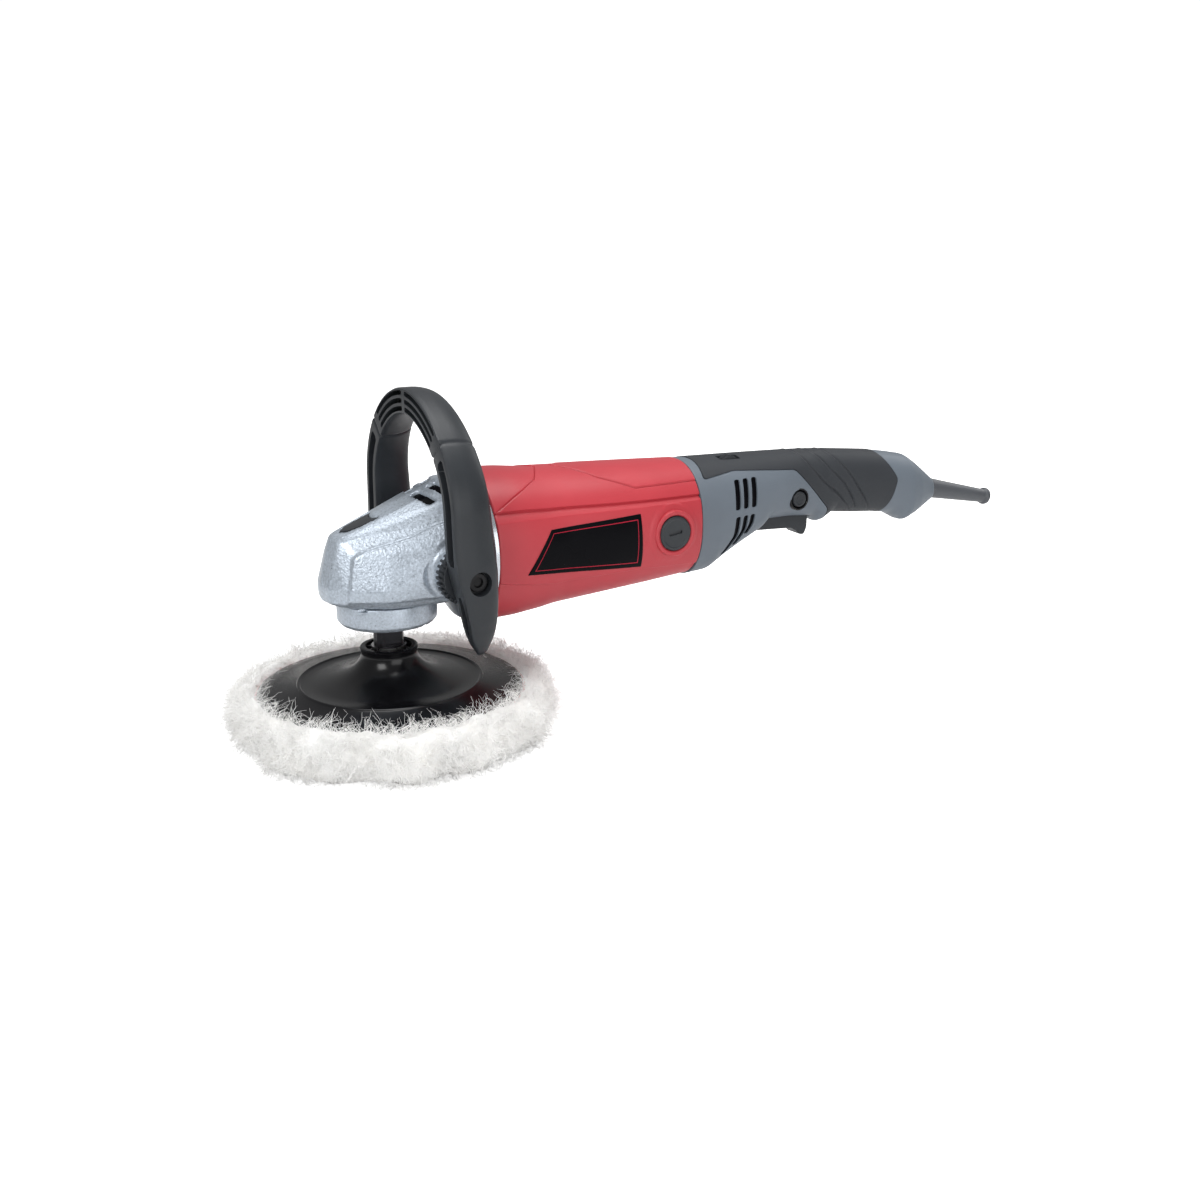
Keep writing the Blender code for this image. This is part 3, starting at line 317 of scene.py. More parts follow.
def add_mesh(name: str, points: Sequence[Sequence[float]], faces: Sequence[Sequence[int]],
             smooth_degrees: Optional[float] = 40.0) -> bpy.types.Object:
    """Puts a mesh given in millimetres in the scene, with its faces pointing out.

    Args:
        name: name of the object.
        points: the corners in millimetres.
        faces: corner numbers of each face.
        smooth_degrees: edges sharper than this stay sharp; None leaves flat shading.

    Returns:
        The object, with its place in its mesh.
    """
    mesh = bpy.data.meshes.new(name)
    mesh.from_pydata((np.asarray(points, float) * MM).tolist(), [], faces)
    shape = bmesh.new()
    shape.from_mesh(mesh)
    bmesh.ops.recalc_face_normals(shape, faces=shape.faces)
    shape.to_mesh(mesh)
    shape.free()
    if smooth_degrees:
        smooth(mesh, smooth_degrees)
    return new_object(name, mesh)


def smooth(mesh: bpy.types.Mesh, degrees: float) -> None:
    """Shades a mesh smooth apart from edges sharper than an angle."""
    mesh.shade_smooth()
    mesh.set_sharp_from_angle(angle=math.radians(degrees))


def bake(part: bpy.types.Object, smooth_degrees: Optional[float] = 40.0) -> bpy.types.Object:
    """Turns the evaluated object into a plain mesh at the origin, with no modifier left."""
    graph = bpy.context.evaluated_depsgraph_get()
    mesh = bpy.data.meshes.new_from_object(part.evaluated_get(graph), depsgraph=graph)
    mesh.transform(part.matrix_world)
    part.modifiers.clear()
    old, part.data = part.data, mesh
    part.matrix_world.identity()
    part.location = part.rotation_euler = (0, 0, 0)
    if old.users == 0 and isinstance(old, bpy.types.Mesh):
        bpy.data.meshes.remove(old)
    if smooth_degrees:
        smooth(mesh, smooth_degrees)
    return part


def stack_faces(rows: int, count: int, closed: bool, start: int = 0) -> list[tuple[int, ...]]:
    """Quads between rows of points, where each row has count points and may close on itself."""
    faces = []
    for row in range(rows - 1):
        for i in range(count if closed else count - 1):
            j = (i + 1) % count
            near, far = start + row * count, start + (row + 1) * count
            faces.append((near + i, near + j, far + j, far + i))
    return faces


def lofted(name: str, rings: Sequence[Sequence[Point]], smooth_degrees: float = 40.0) -> bpy.types.Object:
    """Closed rings of equal count joined in order and capped at both ends."""
    count = len(rings[0])
    faces = stack_faces(len(rings), count, True)
    faces += [tuple(range(count)), tuple(range((len(rings) - 1) * count, len(rings) * count))]
    return add_mesh(name, [p for ring in rings for p in ring], faces, smooth_degrees)


def turned(name: str, profile: Sequence[Flat], origin: Point = (0, 0, 0), axis: Point = (0, 0, 1),
           steps: int = 96, smooth_degrees: float = 35.0) -> bpy.types.Object:
    """A turned piece about an axis, closed when its (radius, height) profile is a loop.

    Args:
        name: name of the object.
        profile: (radius, height) points; a radius of 0 at both ends gives a solid.
        origin: a point on the axis.
        axis: direction of the axis.
        steps: how many sides the turning has.
        smooth_degrees: edges sharper than this stay sharp.

    Returns:
        The piece as a mesh object.
    """
    along = Vector(axis).normalized()
    turn = Vector((0, 0, 1)).rotation_difference(along).to_matrix()
    solid = profile[0][0] == 0 and profile[-1][0] == 0
    body = list(profile[1:-1]) if solid else [*profile, profile[0]]
    points, faces = [], []
    for radius, height in body:
        for i in range(steps):
            angle = math.tau * i / steps
            spot = Vector((radius * math.cos(angle), radius * math.sin(angle), height))
            points.append(Vector(origin) + turn @ spot)
    if not solid:
        points = points[:-steps]
    rows = len(body) if solid else len(body) - 1
    faces = stack_faces(rows, steps, True)
    if solid:
        for end, row in ((profile[0], 0), (profile[-1], rows - 1)):
            points.append(Vector(origin) + turn @ Vector((0, 0, end[1])))
            centre = len(points) - 1
            faces += [(centre, row * steps + i, row * steps + (i + 1) % steps) for i in range(steps)]
    else:
        last = (rows - 1) * steps
        faces += [(last + i, last + (i + 1) % steps, (i + 1) % steps, i) for i in range(steps)]
    return add_mesh(name, points, faces, smooth_degrees)


def rounded(profile: Sequence[Flat], radius: float, steps: int = 4, closed: bool = False) -> list[Flat]:
    """Rounds the inner corners of a polyline, or all the corners of a closed outline."""
    out: list[Flat] = []
    count = len(profile)
    for i, corner in enumerate(profile):
        if not closed and i in (0, count - 1):
            out.append(tuple(corner))
            continue
        here = Vector(corner)
        before, after = Vector(profile[i - 1]) - here, Vector(profile[(i + 1) % count]) - here
        reach = min(radius, before.length * 0.45, after.length * 0.45)
        first, last = here + before.normalized() * reach, here + after.normalized() * reach
        for k in range(steps + 1):
            t = k / steps
            out.append(tuple(first * (1 - t) ** 2 + here * 2 * t * (1 - t) + last * t ** 2))
    return out


def prism(name: str, outline: Sequence[Flat], low: float, high: float, plane: str = "XZ",
          smooth_degrees: float = 35.0) -> bpy.types.Object:
    """A flat outline swept from low to high across its plane."""
    place = {"XZ": lambda u, v, w: (u, w, v), "XY": lambda u, v, w: (u, v, w),
             "YZ": lambda u, v, w: (w, u, v)}[plane]
    rings = [[place(u, v, w) for u, v in outline] for w in (low, high)]
    return lofted(name, rings, smooth_degrees)


def cut(part: bpy.types.Object, tool: bpy.types.Object, operation: str = "DIFFERENCE") -> None:
    """Applies an exact Boolean at once and removes its tool."""
    step = part.modifiers.new("cut", "BOOLEAN")
    step.operation, step.solver, step.object = operation, "EXACT", tool
    bake(part, None)
    bpy.data.objects.remove(tool)


def joined(name: str, parts: Sequence[bpy.types.Object]) -> bpy.types.Object:
    """One object made from several plain mesh objects, which are removed."""
    shape = bmesh.new()
    for part in parts:
        shape.from_mesh(part.data)
    mesh = bpy.data.meshes.new(name)
    shape.to_mesh(mesh)
    shape.free()
    for part in parts:
        bpy.data.objects.remove(part)
    return new_object(name, mesh)


def soften(part: bpy.types.Object, width: float, segments: int = 2, degrees: float = 40.0,
           smooth_degrees: float = 50.0) -> bpy.types.Object:
    """Rounds the sharp edges of a piece by width millimetres."""
    step = part.modifiers.new("edge", "BEVEL")
    step.width, step.segments = width * MM, segments
    step.limit_method, step.angle_limit = "ANGLE", math.radians(degrees)
    step.use_clamp_overlap = True
    return bake(part, smooth_degrees)


def dress(part: bpy.types.Object, finish: Finish, body: str, *nodes: str) -> bpy.types.Object:
    """Gives a piece its finish and body, and hides the CAD nodes that it stands for."""
    part.data.materials.clear()
    part.data.materials.append(finish.build())
    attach(part, body)
    if nodes:
        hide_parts(*nodes)
    LOG.info("%s: %d faces", part.name, len(part.data.polygons))
    return part


# ---------------------------------------------------------------- geometry node trees
class NodeKit:
    """A Geometry Nodes tree that ends in Realize Instances and Set Material."""

    def __init__(self, name: str, sizes: dict[str, float]) -> None:
        """Starts the tree with a Geometry and a Material input and named float inputs."""
        self.tree = bpy.data.node_groups.new(name, "GeometryNodeTree")
        face = self.tree.interface
        face.new_socket("Geometry", in_out="INPUT", socket_type="NodeSocketGeometry")
        for label, value in sizes.items():
            face.new_socket(label, in_out="INPUT", socket_type="NodeSocketFloat").default_value = value
        face.new_socket("Material", in_out="INPUT", socket_type="NodeSocketMaterial")
        face.new_socket("Geometry", in_out="OUTPUT", socket_type="NodeSocketGeometry")
        self.input = self.tree.nodes.new("NodeGroupInput")

    def node(self, kind: str, **values: object) -> bpy.types.Node:
        """Adds a node; values name its properties or, with spaces as underscores, its sockets."""
        node = self.tree.nodes.new(kind)
        for key, value in values.items():
            if hasattr(node, key) and not isinstance(value, bpy.types.NodeSocket):
                setattr(node, key, value)
                continue
            socket = node.inputs[int(key[1:])] if key[0] == "_" else node.inputs[key.replace("_", " ")]
            if isinstance(value, bpy.types.NodeSocket):
                self.tree.links.new(value, socket)
            else:
                socket.default_value = value
        return node

    def size(self, label: str) -> bpy.types.NodeSocket:
        """The tree's input of that name."""
        return self.input.outputs[label]

    def math(self, operation: str, *values: object) -> bpy.types.NodeSocket:
        """A Math node fed by numbers or sockets."""
        return math_node(self.tree, operation, *values)

    def close(self, geometry: bpy.types.NodeSocket) -> bpy.types.NodeTree:
        """Realizes the instances, sets the material and ends the tree."""
        real = self.node("GeometryNodeRealizeInstances", Geometry=geometry)
        dressed = self.node("GeometryNodeSetMaterial", Geometry=real.outputs[0],
                            Material=self.size("Material"))
        self.tree.links.new(dressed.outputs[0], self.tree.nodes.new("NodeGroupOutput").inputs[0])
        return self.tree


def grow(name: str, emitter: bpy.types.Object, tree: bpy.types.NodeTree, finish: Finish,
         **sizes: float) -> bpy.types.Object:
    """Runs a node tree on a copy of an object and returns the result as a plain mesh.

    Args:
        name: name of the new piece.
        emitter: the object whose mesh the tree starts from.
        tree: the Geometry Nodes tree.
        finish: the finish that the tree sets.
        sizes: the tree's inputs, with spaces as underscores.

    Returns:
        The grown piece as a mesh object.
    """
    part = new_object(name, emitter.data.copy())
    step = part.modifiers.new("grow", "NODES")
    step.node_group = tree
    keys = {item.name: item.identifier for item in tree.interface.items_tree
            if item.item_type == "SOCKET" and item.in_out == "INPUT"}
    step[keys["Material"]] = finish.build()
    for label, value in sizes.items():
        step[keys[label.replace("_", " ")]] = value
    return bake(part, None)


def fibre_tree() -> bpy.types.NodeTree:
    """Curled wool fibres that stand on a surface, bend together in locks and taper to a tip."""
    kit = NodeKit("wool_fibres", {
        "Density": 100000.0, "Length": 0.012, "Curl": 0.0014, "Turns": 1.3, "Thickness": 0.0002,
        "Tousle": 0.006, "Lift": 0.0, "Spread": 0.9, "Seed": 1.0})
    grid = kit.node("GeometryNodeDistributePointsOnFaces", Mesh=kit.size("Geometry"),
                    Density=kit.size("Density"), Seed=kit.size("Seed"))
    spiral = kit.node("GeometryNodeCurveSpiral", Resolution=7, Rotations=kit.size("Turns"),
                      Start_Radius=kit.math("MULTIPLY", kit.size("Curl"), 0.35),
                      End_Radius=kit.size("Curl"), Height=kit.size("Length"))
    tilt = kit.node("FunctionNodeRandomValue", data_type="FLOAT_VECTOR", Seed=3)
    spread = kit.size("Spread")
    tree = kit.tree
    spin = kit.node("ShaderNodeCombineXYZ", X=spread, Y=spread, Z=3.1416)
    back = kit.node("ShaderNodeVectorMath", operation="SCALE", Scale=-1.0)
    tree.links.new(spin.outputs[0], back.inputs[0])
    tree.links.new(back.outputs[0], tilt.inputs["Min"])
    tree.links.new(spin.outputs[0], tilt.inputs["Max"])
    turn = kit.node("FunctionNodeRotateEuler", rotation_type="EULER", space="LOCAL")
    tree.links.new(grid.outputs["Rotation"], turn.inputs["Rotation"])
    tree.links.new(tilt.outputs["Value"], turn.inputs["Rotate By"])
    size = kit.node("FunctionNodeRandomValue", data_type="FLOAT", Seed=5)
    size.inputs[2].default_value, size.inputs[3].default_value = 0.55, 1.15
    placed = kit.node("GeometryNodeInstanceOnPoints", Points=grid.outputs["Points"],
                      Instance=spiral.outputs[0], Rotation=turn.outputs[0], Scale=size.outputs[1])
    strands = kit.node("GeometryNodeRealizeInstances", Geometry=placed.outputs[0])
    along = kit.node("GeometryNodeSplineParameter").outputs["Factor"]
    place = kit.node("GeometryNodeInputPosition")
    wave = kit.node("ShaderNodeTexNoise", Vector=place.outputs[0], Scale=95.0, Detail=2.0)
    centred = kit.node("ShaderNodeVectorMath", operation="SUBTRACT")
    tree.links.new(wave.outputs["Color"], centred.inputs[0])
    centred.inputs[1].default_value = (0.5, 0.5, 0.5)
    shift = kit.node("ShaderNodeVectorMath", operation="SCALE",
                     Scale=kit.math("MULTIPLY", kit.math("POWER", along, 1.3), kit.size("Tousle")))
    tree.links.new(centred.outputs[0], shift.inputs[0])
    rise = kit.node("ShaderNodeCombineXYZ", X=0.0, Y=0.0,
                    Z=kit.math("MULTIPLY", kit.math("POWER", along, 1.5), kit.size("Lift")))
    total = kit.node("ShaderNodeVectorMath", operation="ADD")
    tree.links.new(shift.outputs[0], total.inputs[0])
    tree.links.new(rise.outputs[0], total.inputs[1])
    bent = kit.node("GeometryNodeSetPosition", Geometry=strands.outputs[0], Offset=total.outputs[0])
    taper = kit.math("MULTIPLY_ADD", along, -0.65, 1.0)
    ring = kit.node("GeometryNodeCurvePrimitiveCircle", Resolution=3, Radius=1.0)
    width = kit.math("MULTIPLY", taper, kit.size("Thickness"))
    hair = kit.node("GeometryNodeCurveToMesh", Curve=bent.outputs[0], Profile_Curve=ring.outputs[0],
                    Scale=width)
    return kit.close(hair.outputs[0])


@functools.cache
def rib_ring_tree() -> bpy.types.NodeTree:
    """Equal ribs set round a circle in the XY plane, each standing at the input mesh's height."""
    kit = NodeKit("rib_ring", {"Count": 12.0, "Radius": 0.015, "Width": 0.001, "Reach": 0.003,
                               "Height": 0.002})
    spots = kit.node("GeometryNodeMeshCircle", Vertices=kit.size("Count"), Radius=kit.size("Radius"))
    block = kit.node("GeometryNodeMeshCube", Vertices_X=2, Vertices_Y=2, Vertices_Z=2)
    size = kit.node("ShaderNodeCombineXYZ", X=kit.size("Reach"), Y=kit.size("Width"),
                    Z=kit.size("Height"))
    kit.tree.links.new(size.outputs[0], block.inputs["Size"])
    place = kit.node("GeometryNodeInputPosition")
    align = kit.node("FunctionNodeAlignEulerToVector", axis="X", pivot_axis="Z")
    kit.tree.links.new(place.outputs[0], align.inputs["Vector"])
    ribs = kit.node("GeometryNodeInstanceOnPoints", Points=spots.outputs[0], Instance=block.outputs[0],
                    Rotation=align.outputs[0])
    return kit.close(ribs.outputs[0])


def ribs_round(name: str, tree: bpy.types.NodeTree, finish: Finish, origin: Point, axis: Point,
               **sizes: float) -> bpy.types.Object:
    """A ring of ribs about an axis, with its place in its mesh."""
    seed = add_mesh(name + "_seed", [(0, 0, 0)], [], None)
    part = grow(name, seed, tree, finish, **sizes)
    bpy.data.objects.remove(seed)
    turn = Vector((0, 0, 1)).rotation_difference(Vector(axis)).to_matrix().to_4x4()
    part.data.transform(turn)
    for vertex in part.data.vertices:
        vertex.co += Vector(origin) * MM
    return part


# ---------------------------------------------------------------- pad and wool
@dataclass
class PadAssembly:
    """Backing pad, hook strip and wool bonnet."""

    radius: float = 90.0
    top: float = 33.0
    bottom: float = 24.3
    hub_radius: float = 19.6
    hub_top: float = 61.5
    wool_radius: float = 108.0
    wool_top: float = 35.5
    steps: int = 160
    ribs: bpy.types.NodeTree = field(default_factory=rib_ring_tree)
    fibres: bpy.types.NodeTree = field(default_factory=fibre_tree)

    def build(self) -> None:
        """Builds and dresses every piece that turns with the spindle."""
        self.backing_pad()
        self.hook_strip()
        self.bonnet()

    def backing_pad(self) -> None:
        """Dished pad with a flared hub, a fine ridge ring and a ribbed hub mouth."""
        flare = [(self.hub_radius, 60.7), (19.4, 59.4), (18.8, 58), (19.1, 55.5), (20.3, 52.6), (22, 50),
                 (24.4, 47.4), (27.5, 45), (31.8, 42.8), (37, 41), (43.2, 39.6), (50, 38.5)]
        ridge = [(60, 37.2), (60.6, 37.5), (61.1, 38.0), (61.8, 38.2), (62.5, 38.0), (63.0, 37.4),
                 (63.6, 36.9)]
        rim = [(78, 34.9), (86.5, 33.4), (88.6, self.top - 0.4), (89.6, 32.1), (self.radius, 30.9),
               (self.radius, 26.2), (88.9, self.bottom)]
        mouth = rounded([(12.3, 30), (12.3, 57), (15.6, 57), (15.6, self.hub_top),
                         (18.9, self.hub_top), flare[0]], 0.5, 3)
        profile = [(0, 30), *mouth, *flare[1:], *ridge, *rim, (0, self.bottom)]
        pad = turned("backing_pad_shell", profile, steps=self.steps, smooth_degrees=40)
        teeth = ribs_round("hub_ribs", self.ribs, GLOSS_BLACK, (0, 0, 58.4), (0, 0, 1), Count=10,
                           Radius=13.9 * MM, Width=1.6 * MM, Reach=3.6 * MM, Height=3.2 * MM)
        dress(teeth, GLOSS_BLACK, "pad")
        dress(pad, GLOSS_BLACK, "pad", "backing_pad")

    def hook_strip(self) -> None:
        """Red hook layer, whose fuzzy edge shows in places between the pad and the wool."""
        edge = rounded([(0, 24.0), (91.2, 24.0), (91.2, 22.2), (0, 22.2)], 0.4, 3)
        dress(turned("hook_strip", edge, steps=self.steps), HOOK, "pad", "hook_layer")
        rim = [(90.3, 24.3), (92.2, 24.3), (92.2, 29.5), (91.2, 30.6), (90.3, 29.5)]
        dress(turned("hook_rim", rim, steps=self.steps), HOOK, "pad")

    def fleece(self, point: Vector, amount: float) -> Vector:
        """An offset for a point of the fleece: lumps, gathered folds, and a rim pressed in at the nose."""
        lump, tuft, fold_depth, press, press_angle = 3.6, 1.5, 2.9, 4.0, 3.5
        angle = math.atan2(point.y, point.x)
        fold = 0.55 * math.sin(7 * angle + 1.3) + 0.45 * math.sin(13 * angle + 0.4 * point.z / 10)
        radial = Vector((math.cos(angle), math.sin(angle), 0))
        pressed = press * max(0.0, math.cos(angle - press_angle)) ** 2
        coarse = noise.noise_vector(point * 0.055)
        fine = noise.noise_vector(point * 0.19)
        return (coarse * lump + fine * tuft + radial * (fold_depth * fold - pressed)) * amount

    def bonnet(self) -> None:
        """Wool bonnet: a lumpy fleece body, and curled fibres outside, on its lip and below."""
        inner = self.radius + 2.6
        outline = rounded([(0, 0.4), (96, 0.4), (104, 4), (self.wool_radius - 0.8, 12),
                           (self.wool_radius, 22), (106, 31), (100.5, self.wool_top),
                           (95.5, self.wool_top), (inner, self.top - 2), (inner, 21.4), (0, 21.4)],
                          4, 4)
        outline = self.dense(outline, 2.2)
        fleece = turned("wool_bonnet_body", outline, steps=280, smooth_degrees=180)
        for vertex in fleece.data.vertices:
            point = vertex.co / MM
            reach = math.hypot(point.x, point.y)
            free = max(0.0, min(1.0, (reach - inner) / 5)) if point.z > 3 else \
                max(0.0, min(1.0, (reach - 70) / 30))
            moved = point + self.fleece(point, free)
            moved.z = max(moved.z, 0.3) if reach > 60 else moved.z
            vertex.co = moved * MM
        dress(fleece, WOOL, "pad", "wool_bonnet")
        self.pile("wool_pile_outer", fleece, lambda r, z: r > 98 and 3 < z < 34, Density=150000,
                  Length=0.0115, Curl=0.0016, Turns=1.2, Thickness=0.00024, Tousle=0.013, Spread=0.9,
                  Seed=1)
        self.pile("wool_pile_fine", fleece, lambda r, z: r > 96 and 1.5 < z < 36, Density=150000,
                  Length=0.0085, Curl=0.0009, Turns=1.8, Thickness=0.00015, Tousle=0.011, Spread=1.2,
                  Seed=2)
        self.pile("wool_lip_curls", fleece, lambda r, z: r < 103 and z > 28, Density=330000,
                  Length=0.0155, Curl=0.0011, Turns=0.9, Thickness=0.00015, Tousle=0.027, Lift=-0.004,
                  Spread=0.9, Seed=3)
        self.pile("wool_pile_under", fleece, lambda r, z: r > 40 and z < 3, Density=60000,
                  Length=0.004, Curl=0.0012, Turns=1.0, Thickness=0.0002, Tousle=0.003, Lift=0.0035,
                  Spread=1.1, Seed=4)

    @staticmethod
    def dense(profile: Sequence[Flat], step: float) -> list[Flat]:
        """A profile with a point at least every step millimetres."""
        out: list[Flat] = []
        for (r0, z0), (r1, z1) in zip(profile, profile[1:]):
            count = max(1, math.ceil(math.hypot(r1 - r0, z1 - z0) / step))
            out += [(r0 + (r1 - r0) * k / count, z0 + (z1 - z0) * k / count) for k in range(count)]
        return [*out, profile[-1]]

    def pile(self, name: str, fleece: bpy.types.Object, keep: Callable[[float, float], bool],
             **sizes: float) -> None:
        """Fibres on the part of the fleece that keep(radius, height) picks."""
        shape = bmesh.new()
        shape.from_mesh(fleece.data)
        unwanted = []
        for face in shape.faces:
            middle = face.calc_center_median() / MM
            if not keep(math.hypot(middle.x, middle.y), middle.z):
                unwanted.append(face)
        bmesh.ops.delete(shape, geom=unwanted, context="FACES")
        mesh = bpy.data.meshes.new(name + "_skin")
        shape.to_mesh(mesh)
        shape.free()
        skin = new_object(name + "_skin", mesh)
        hair = grow(name, skin, self.fibres, WOOL_FIBRE, **sizes)
        bpy.data.objects.remove(skin)
        for vertex in hair.data.vertices:
            vertex.co.z = max(vertex.co.z, 0.0002)
        dress(hair, WOOL_FIBRE, "pad")


# ---------------------------------------------------------------- gear head
@dataclass
class GearHead:
    """Cast gear housing, bearing cover and spindle lock button."""

    bottom: float = 95.5
    rear: float = 58.0
    flange: float = 51.0
    loop_x: float = LOOP_X
    loop_z: float = LOOP_Z
    voxel: float = 0.95

    def build(self) -> None:
        """Builds and dresses the pieces of the gear head."""
        self.casting()
        self.cover()
        self.lock_button()

    def hull(self, name: str, points: Sequence[Point], width: float) -> bpy.types.Object:
        """The convex hull of points given for one side and mirrored, with rounded edges."""
        shape = bmesh.new()
        for x, y, z in points:
            for side in ((1, -1) if y else (1,)):
                shape.verts.new((x * MM, side * y * MM, z * MM))
        made = bmesh.ops.convex_hull(shape, input=shape.verts)
        unused = [item for item in made["geom_interior"] if isinstance(item, bmesh.types.BMVert)]
        bmesh.ops.delete(shape, geom=unused, context="VERTS")
        bmesh.ops.dissolve_limit(shape, angle_limit=0.02, verts=shape.verts, edges=shape.edges)
        bmesh.ops.recalc_face_normals(shape, faces=shape.faces)
        mesh = bpy.data.meshes.new(name)
        shape.to_mesh(mesh)
        shape.free()
        part = new_object(name, mesh)
        return soften(part, width, 3, 8) if width else part

    def casting(self) -> None:
        """The gear housing, joined from its body, panels, flange and bosses, then rounded as cast."""
        layers = {
            self.bottom: ((-37, 0), (-35, 11.5), (-29, 19.5), (-9.5, 32.4), (2, 34.4), (26, 34)),
            99.0: ((-45, 0), (-43, 12), (-35.4, 21), (-12, 34.5), (4, 37), (28, 37.5)),
            108.5: ((-46, 0), (-43.6, 12), (-35, 22), (-12, 36), (6, 38.5), (31, 40)),
            132.0: ((-40, 0), (-37.4, 10.6), (-28, 18.6), (-5, 30), (10, 34), (36, 43)),
            140.6: ((-37, 0), (-34.3, 9.4), (-27, 14.3))}
        points = [(x, y, z) for z, outline in layers.items() for x, y in outline]
        points += [(-8, 0, 150.3), (-7, 14.5, 148.2), (10.5, 0, 157), (12, 18.6, 153.7)]
        for degrees in (90, 72, 54, 36, 18, 0, -30):
            angle = math.radians(degrees)
            place = ((self.flange - 1.2) * math.cos(angle),
                     MOTOR_Z + (self.flange - 1.2) * math.sin(angle))
            points += [(42.0, *place), (52.0, *place)]
        body = self.hull("gear_head_casting", points, 2.4)
        motor = (0, 0, MOTOR_Z)
        collar = [(0, self.rear), (self.flange, self.rear), (self.flange, 54.4), (49.6, 53.6),
                  (49.6, 49.4), (44.5, 46.4), (38.5, 43.5), (27.5, 35), (0, 35)]
        adds = [turned("collar", collar, motor, (1, 0, 0), 96)]
        adds += self.side_panels(points)
        reach = self.flange + 0.7
        adds.append(turned("boss", [(0, -reach), (17, -reach), (17.6, -40), (17.6, 40), (17, reach),
                                    (0, reach)], (self.loop_x, 0, self.loop_z), (0, 1, 0), 64))
        for tool in adds:
            cut(body, tool, "UNION")
        for tool in self.hollows():
            cut(body, tool)
        step = body.modifiers.new("cast", "REMESH")
        step.mode, step.voxel_size = "VOXEL", self.voxel * MM
        relax = body.modifiers.new("relax", "SMOOTH")
        relax.factor, relax.iterations = 0.5, 3
        bake(body, 180)
        dress(body, CAST, "body", "gear_housing")
        # Near-black sheets of painted shade in the roof slots.
        self.slot_shade_sheets(points)

    def side_panels(self, points: Sequence[Point]) -> list[bpy.types.Object]:
        """Raised bevelled panels, one on each flank of the casting."""
        panels = []
        outline = rounded([(-34.6, 101.0), (32, 102.0), (35, 152), (22, 148.5), (9, 142.2),
                           (-22.5, 133.4), (-28.4, 130.2)], 2.4, 4, closed=True)
        for side, word in SIDES:
            slab = self.hull("panel_hull", points, 0)
            fat = slab.modifiers.new("fat", "DISPLACE")
            fat.strength = 1.9 * MM
            fat.mid_level = 0
            bake(slab, None)
            cut(slab, prism("panel_limits", outline, *across(side, 15.0, 60.0)), "INTERSECT")
            slab.name = f"panel_{word}"
            panels.append(slab)
        return panels

    def hollows(self) -> list[bpy.types.Object]:
        """Everything that is taken out of the casting: chambers, dishes, slots and holes."""
        motor = (0, 0, MOTOR_Z)
        tools = [
            turned("chamber", [(0, 139.5), (8.3, 139.5), (8.3, 129), (27.6, 129), (27.6, 90), (0, 90)]),
            turned("rear_cavity", [(0, 70), (44.5, 70), (44.5, 50), (40, 46), (24, 36), (8.5, 36),
                                   (8.5, 20), (0, 20)], motor, (1, 0, 0))]
        for side, _ in SIDES:
            ring = [(20.6 + 4.6 * math.cos(a), side * 47.5 + 5.4 * math.sin(a))
                    for a in (math.tau * i / 20 for i in range(20))]
            tools.append(turned("dish", ring, (self.loop_x, 0, self.loop_z), (0, 1, 0), 72))
        tools.append(prism("lock_seat", self.shield(0.5), 138.5, 165, "XY"))
        tools += self.slot_prisms(140)
        return tools

    def slot_prisms(self, low: float) -> list[bpy.types.Object]:
        """Upright prisms over the outlines of the four roof slots."""
        return [prism("roof_slot", self.slot_outline(x, side), low, 185, "XY")
                for x in (22.0, 33.5) for side, _ in SIDES]

    def slot_shade_sheets(self, points: Sequence[Point]) -> None:
        """Painted shade: near-black sheets that close the roof slots a little below the roof, in place of
        the shaded inside of the slots.
        """
        hull = self.hull("shade_sheet_hull", points, 0)
        thin = hull.modifiers.new("thin", "DISPLACE")
        thin.strength, thin.mid_level = -2.2 * MM, 0
        bake(hull, None)
        shade_sheets = self.slot_prisms(141)
        for plug in shade_sheets:
            cut(plug, new_object("shade_sheet_copy", hull.data.copy()), "INTERSECT")
        bpy.data.objects.remove(hull)
        dress(joined("roof_slot_painted_shade", shade_sheets), BADGE_AND_SHADE_BLACK, "body")

    @staticmethod
    def slot_outline(x: float, side: int) -> list[Flat]:
        """A curved slot with round ends, bowed towards the nose as it runs down the roof."""
        centre = [(x + 0.016 * (y - 3) ** 2, side * y) for y in np.linspace(3.5, 22.0, 10)]
        near = [(u - 3.2, v) for u, v in centre]
        far = [(u + 3.2, v) for u, v in reversed(centre)]
        return rounded([*near, *far], 2.0, 3, closed=True)

    @staticmethod
    def shield(gap: float) -> list[Flat]:
        """Plan of the lock button: a pointed shield with a notch in its rear edge."""
        half = [(-30.0 - gap, 0), (-25.5 - gap, -4.9 - gap), (-18, -7.3 - gap), (-10, -8.2 - gap),
                (-4.2 + gap, -8.6 - gap), (-8.8 + gap, -3.0)]
        return [*half, *((x, -y) for x, y in reversed(half[1:]))]

    def cover(self) -> None:
        """Round bearing cover with a bevelled lower edge and a small notch at its parting line."""
        profile = rounded([(27.3, 98), (27.3, 95.2), (33.6, 95.2), (33.6, 82), (31.6, 79.6),
                           (11.5, 79.6), (11.5, 82.6), (17.8, 82.6), (17.8, 98)], 0.7, 3)
        ring = turned("bearing_cover_ring", profile, steps=128)
        for index in range(3):
            angle = math.tau * index / 3 + math.pi
            spot = (29.9 * math.cos(angle), 29.9 * math.sin(angle), 0)
            cut(ring, turned("bore", [(0, 70), (2.8, 70), (2.8, 84.6), (2.2, 84.6), (2.2, 100), (0, 100)],
                             spot, steps=32))
        notch = prism("notch", [(-29, -34), (-22, -34), (-22, -20), (-29, -20)], 93.6, 97, "XY")
        cut(ring, notch)
        soften(ring, 0.35, 2, 50)
        dress(ring, CAST, "body", "bearing_cover")

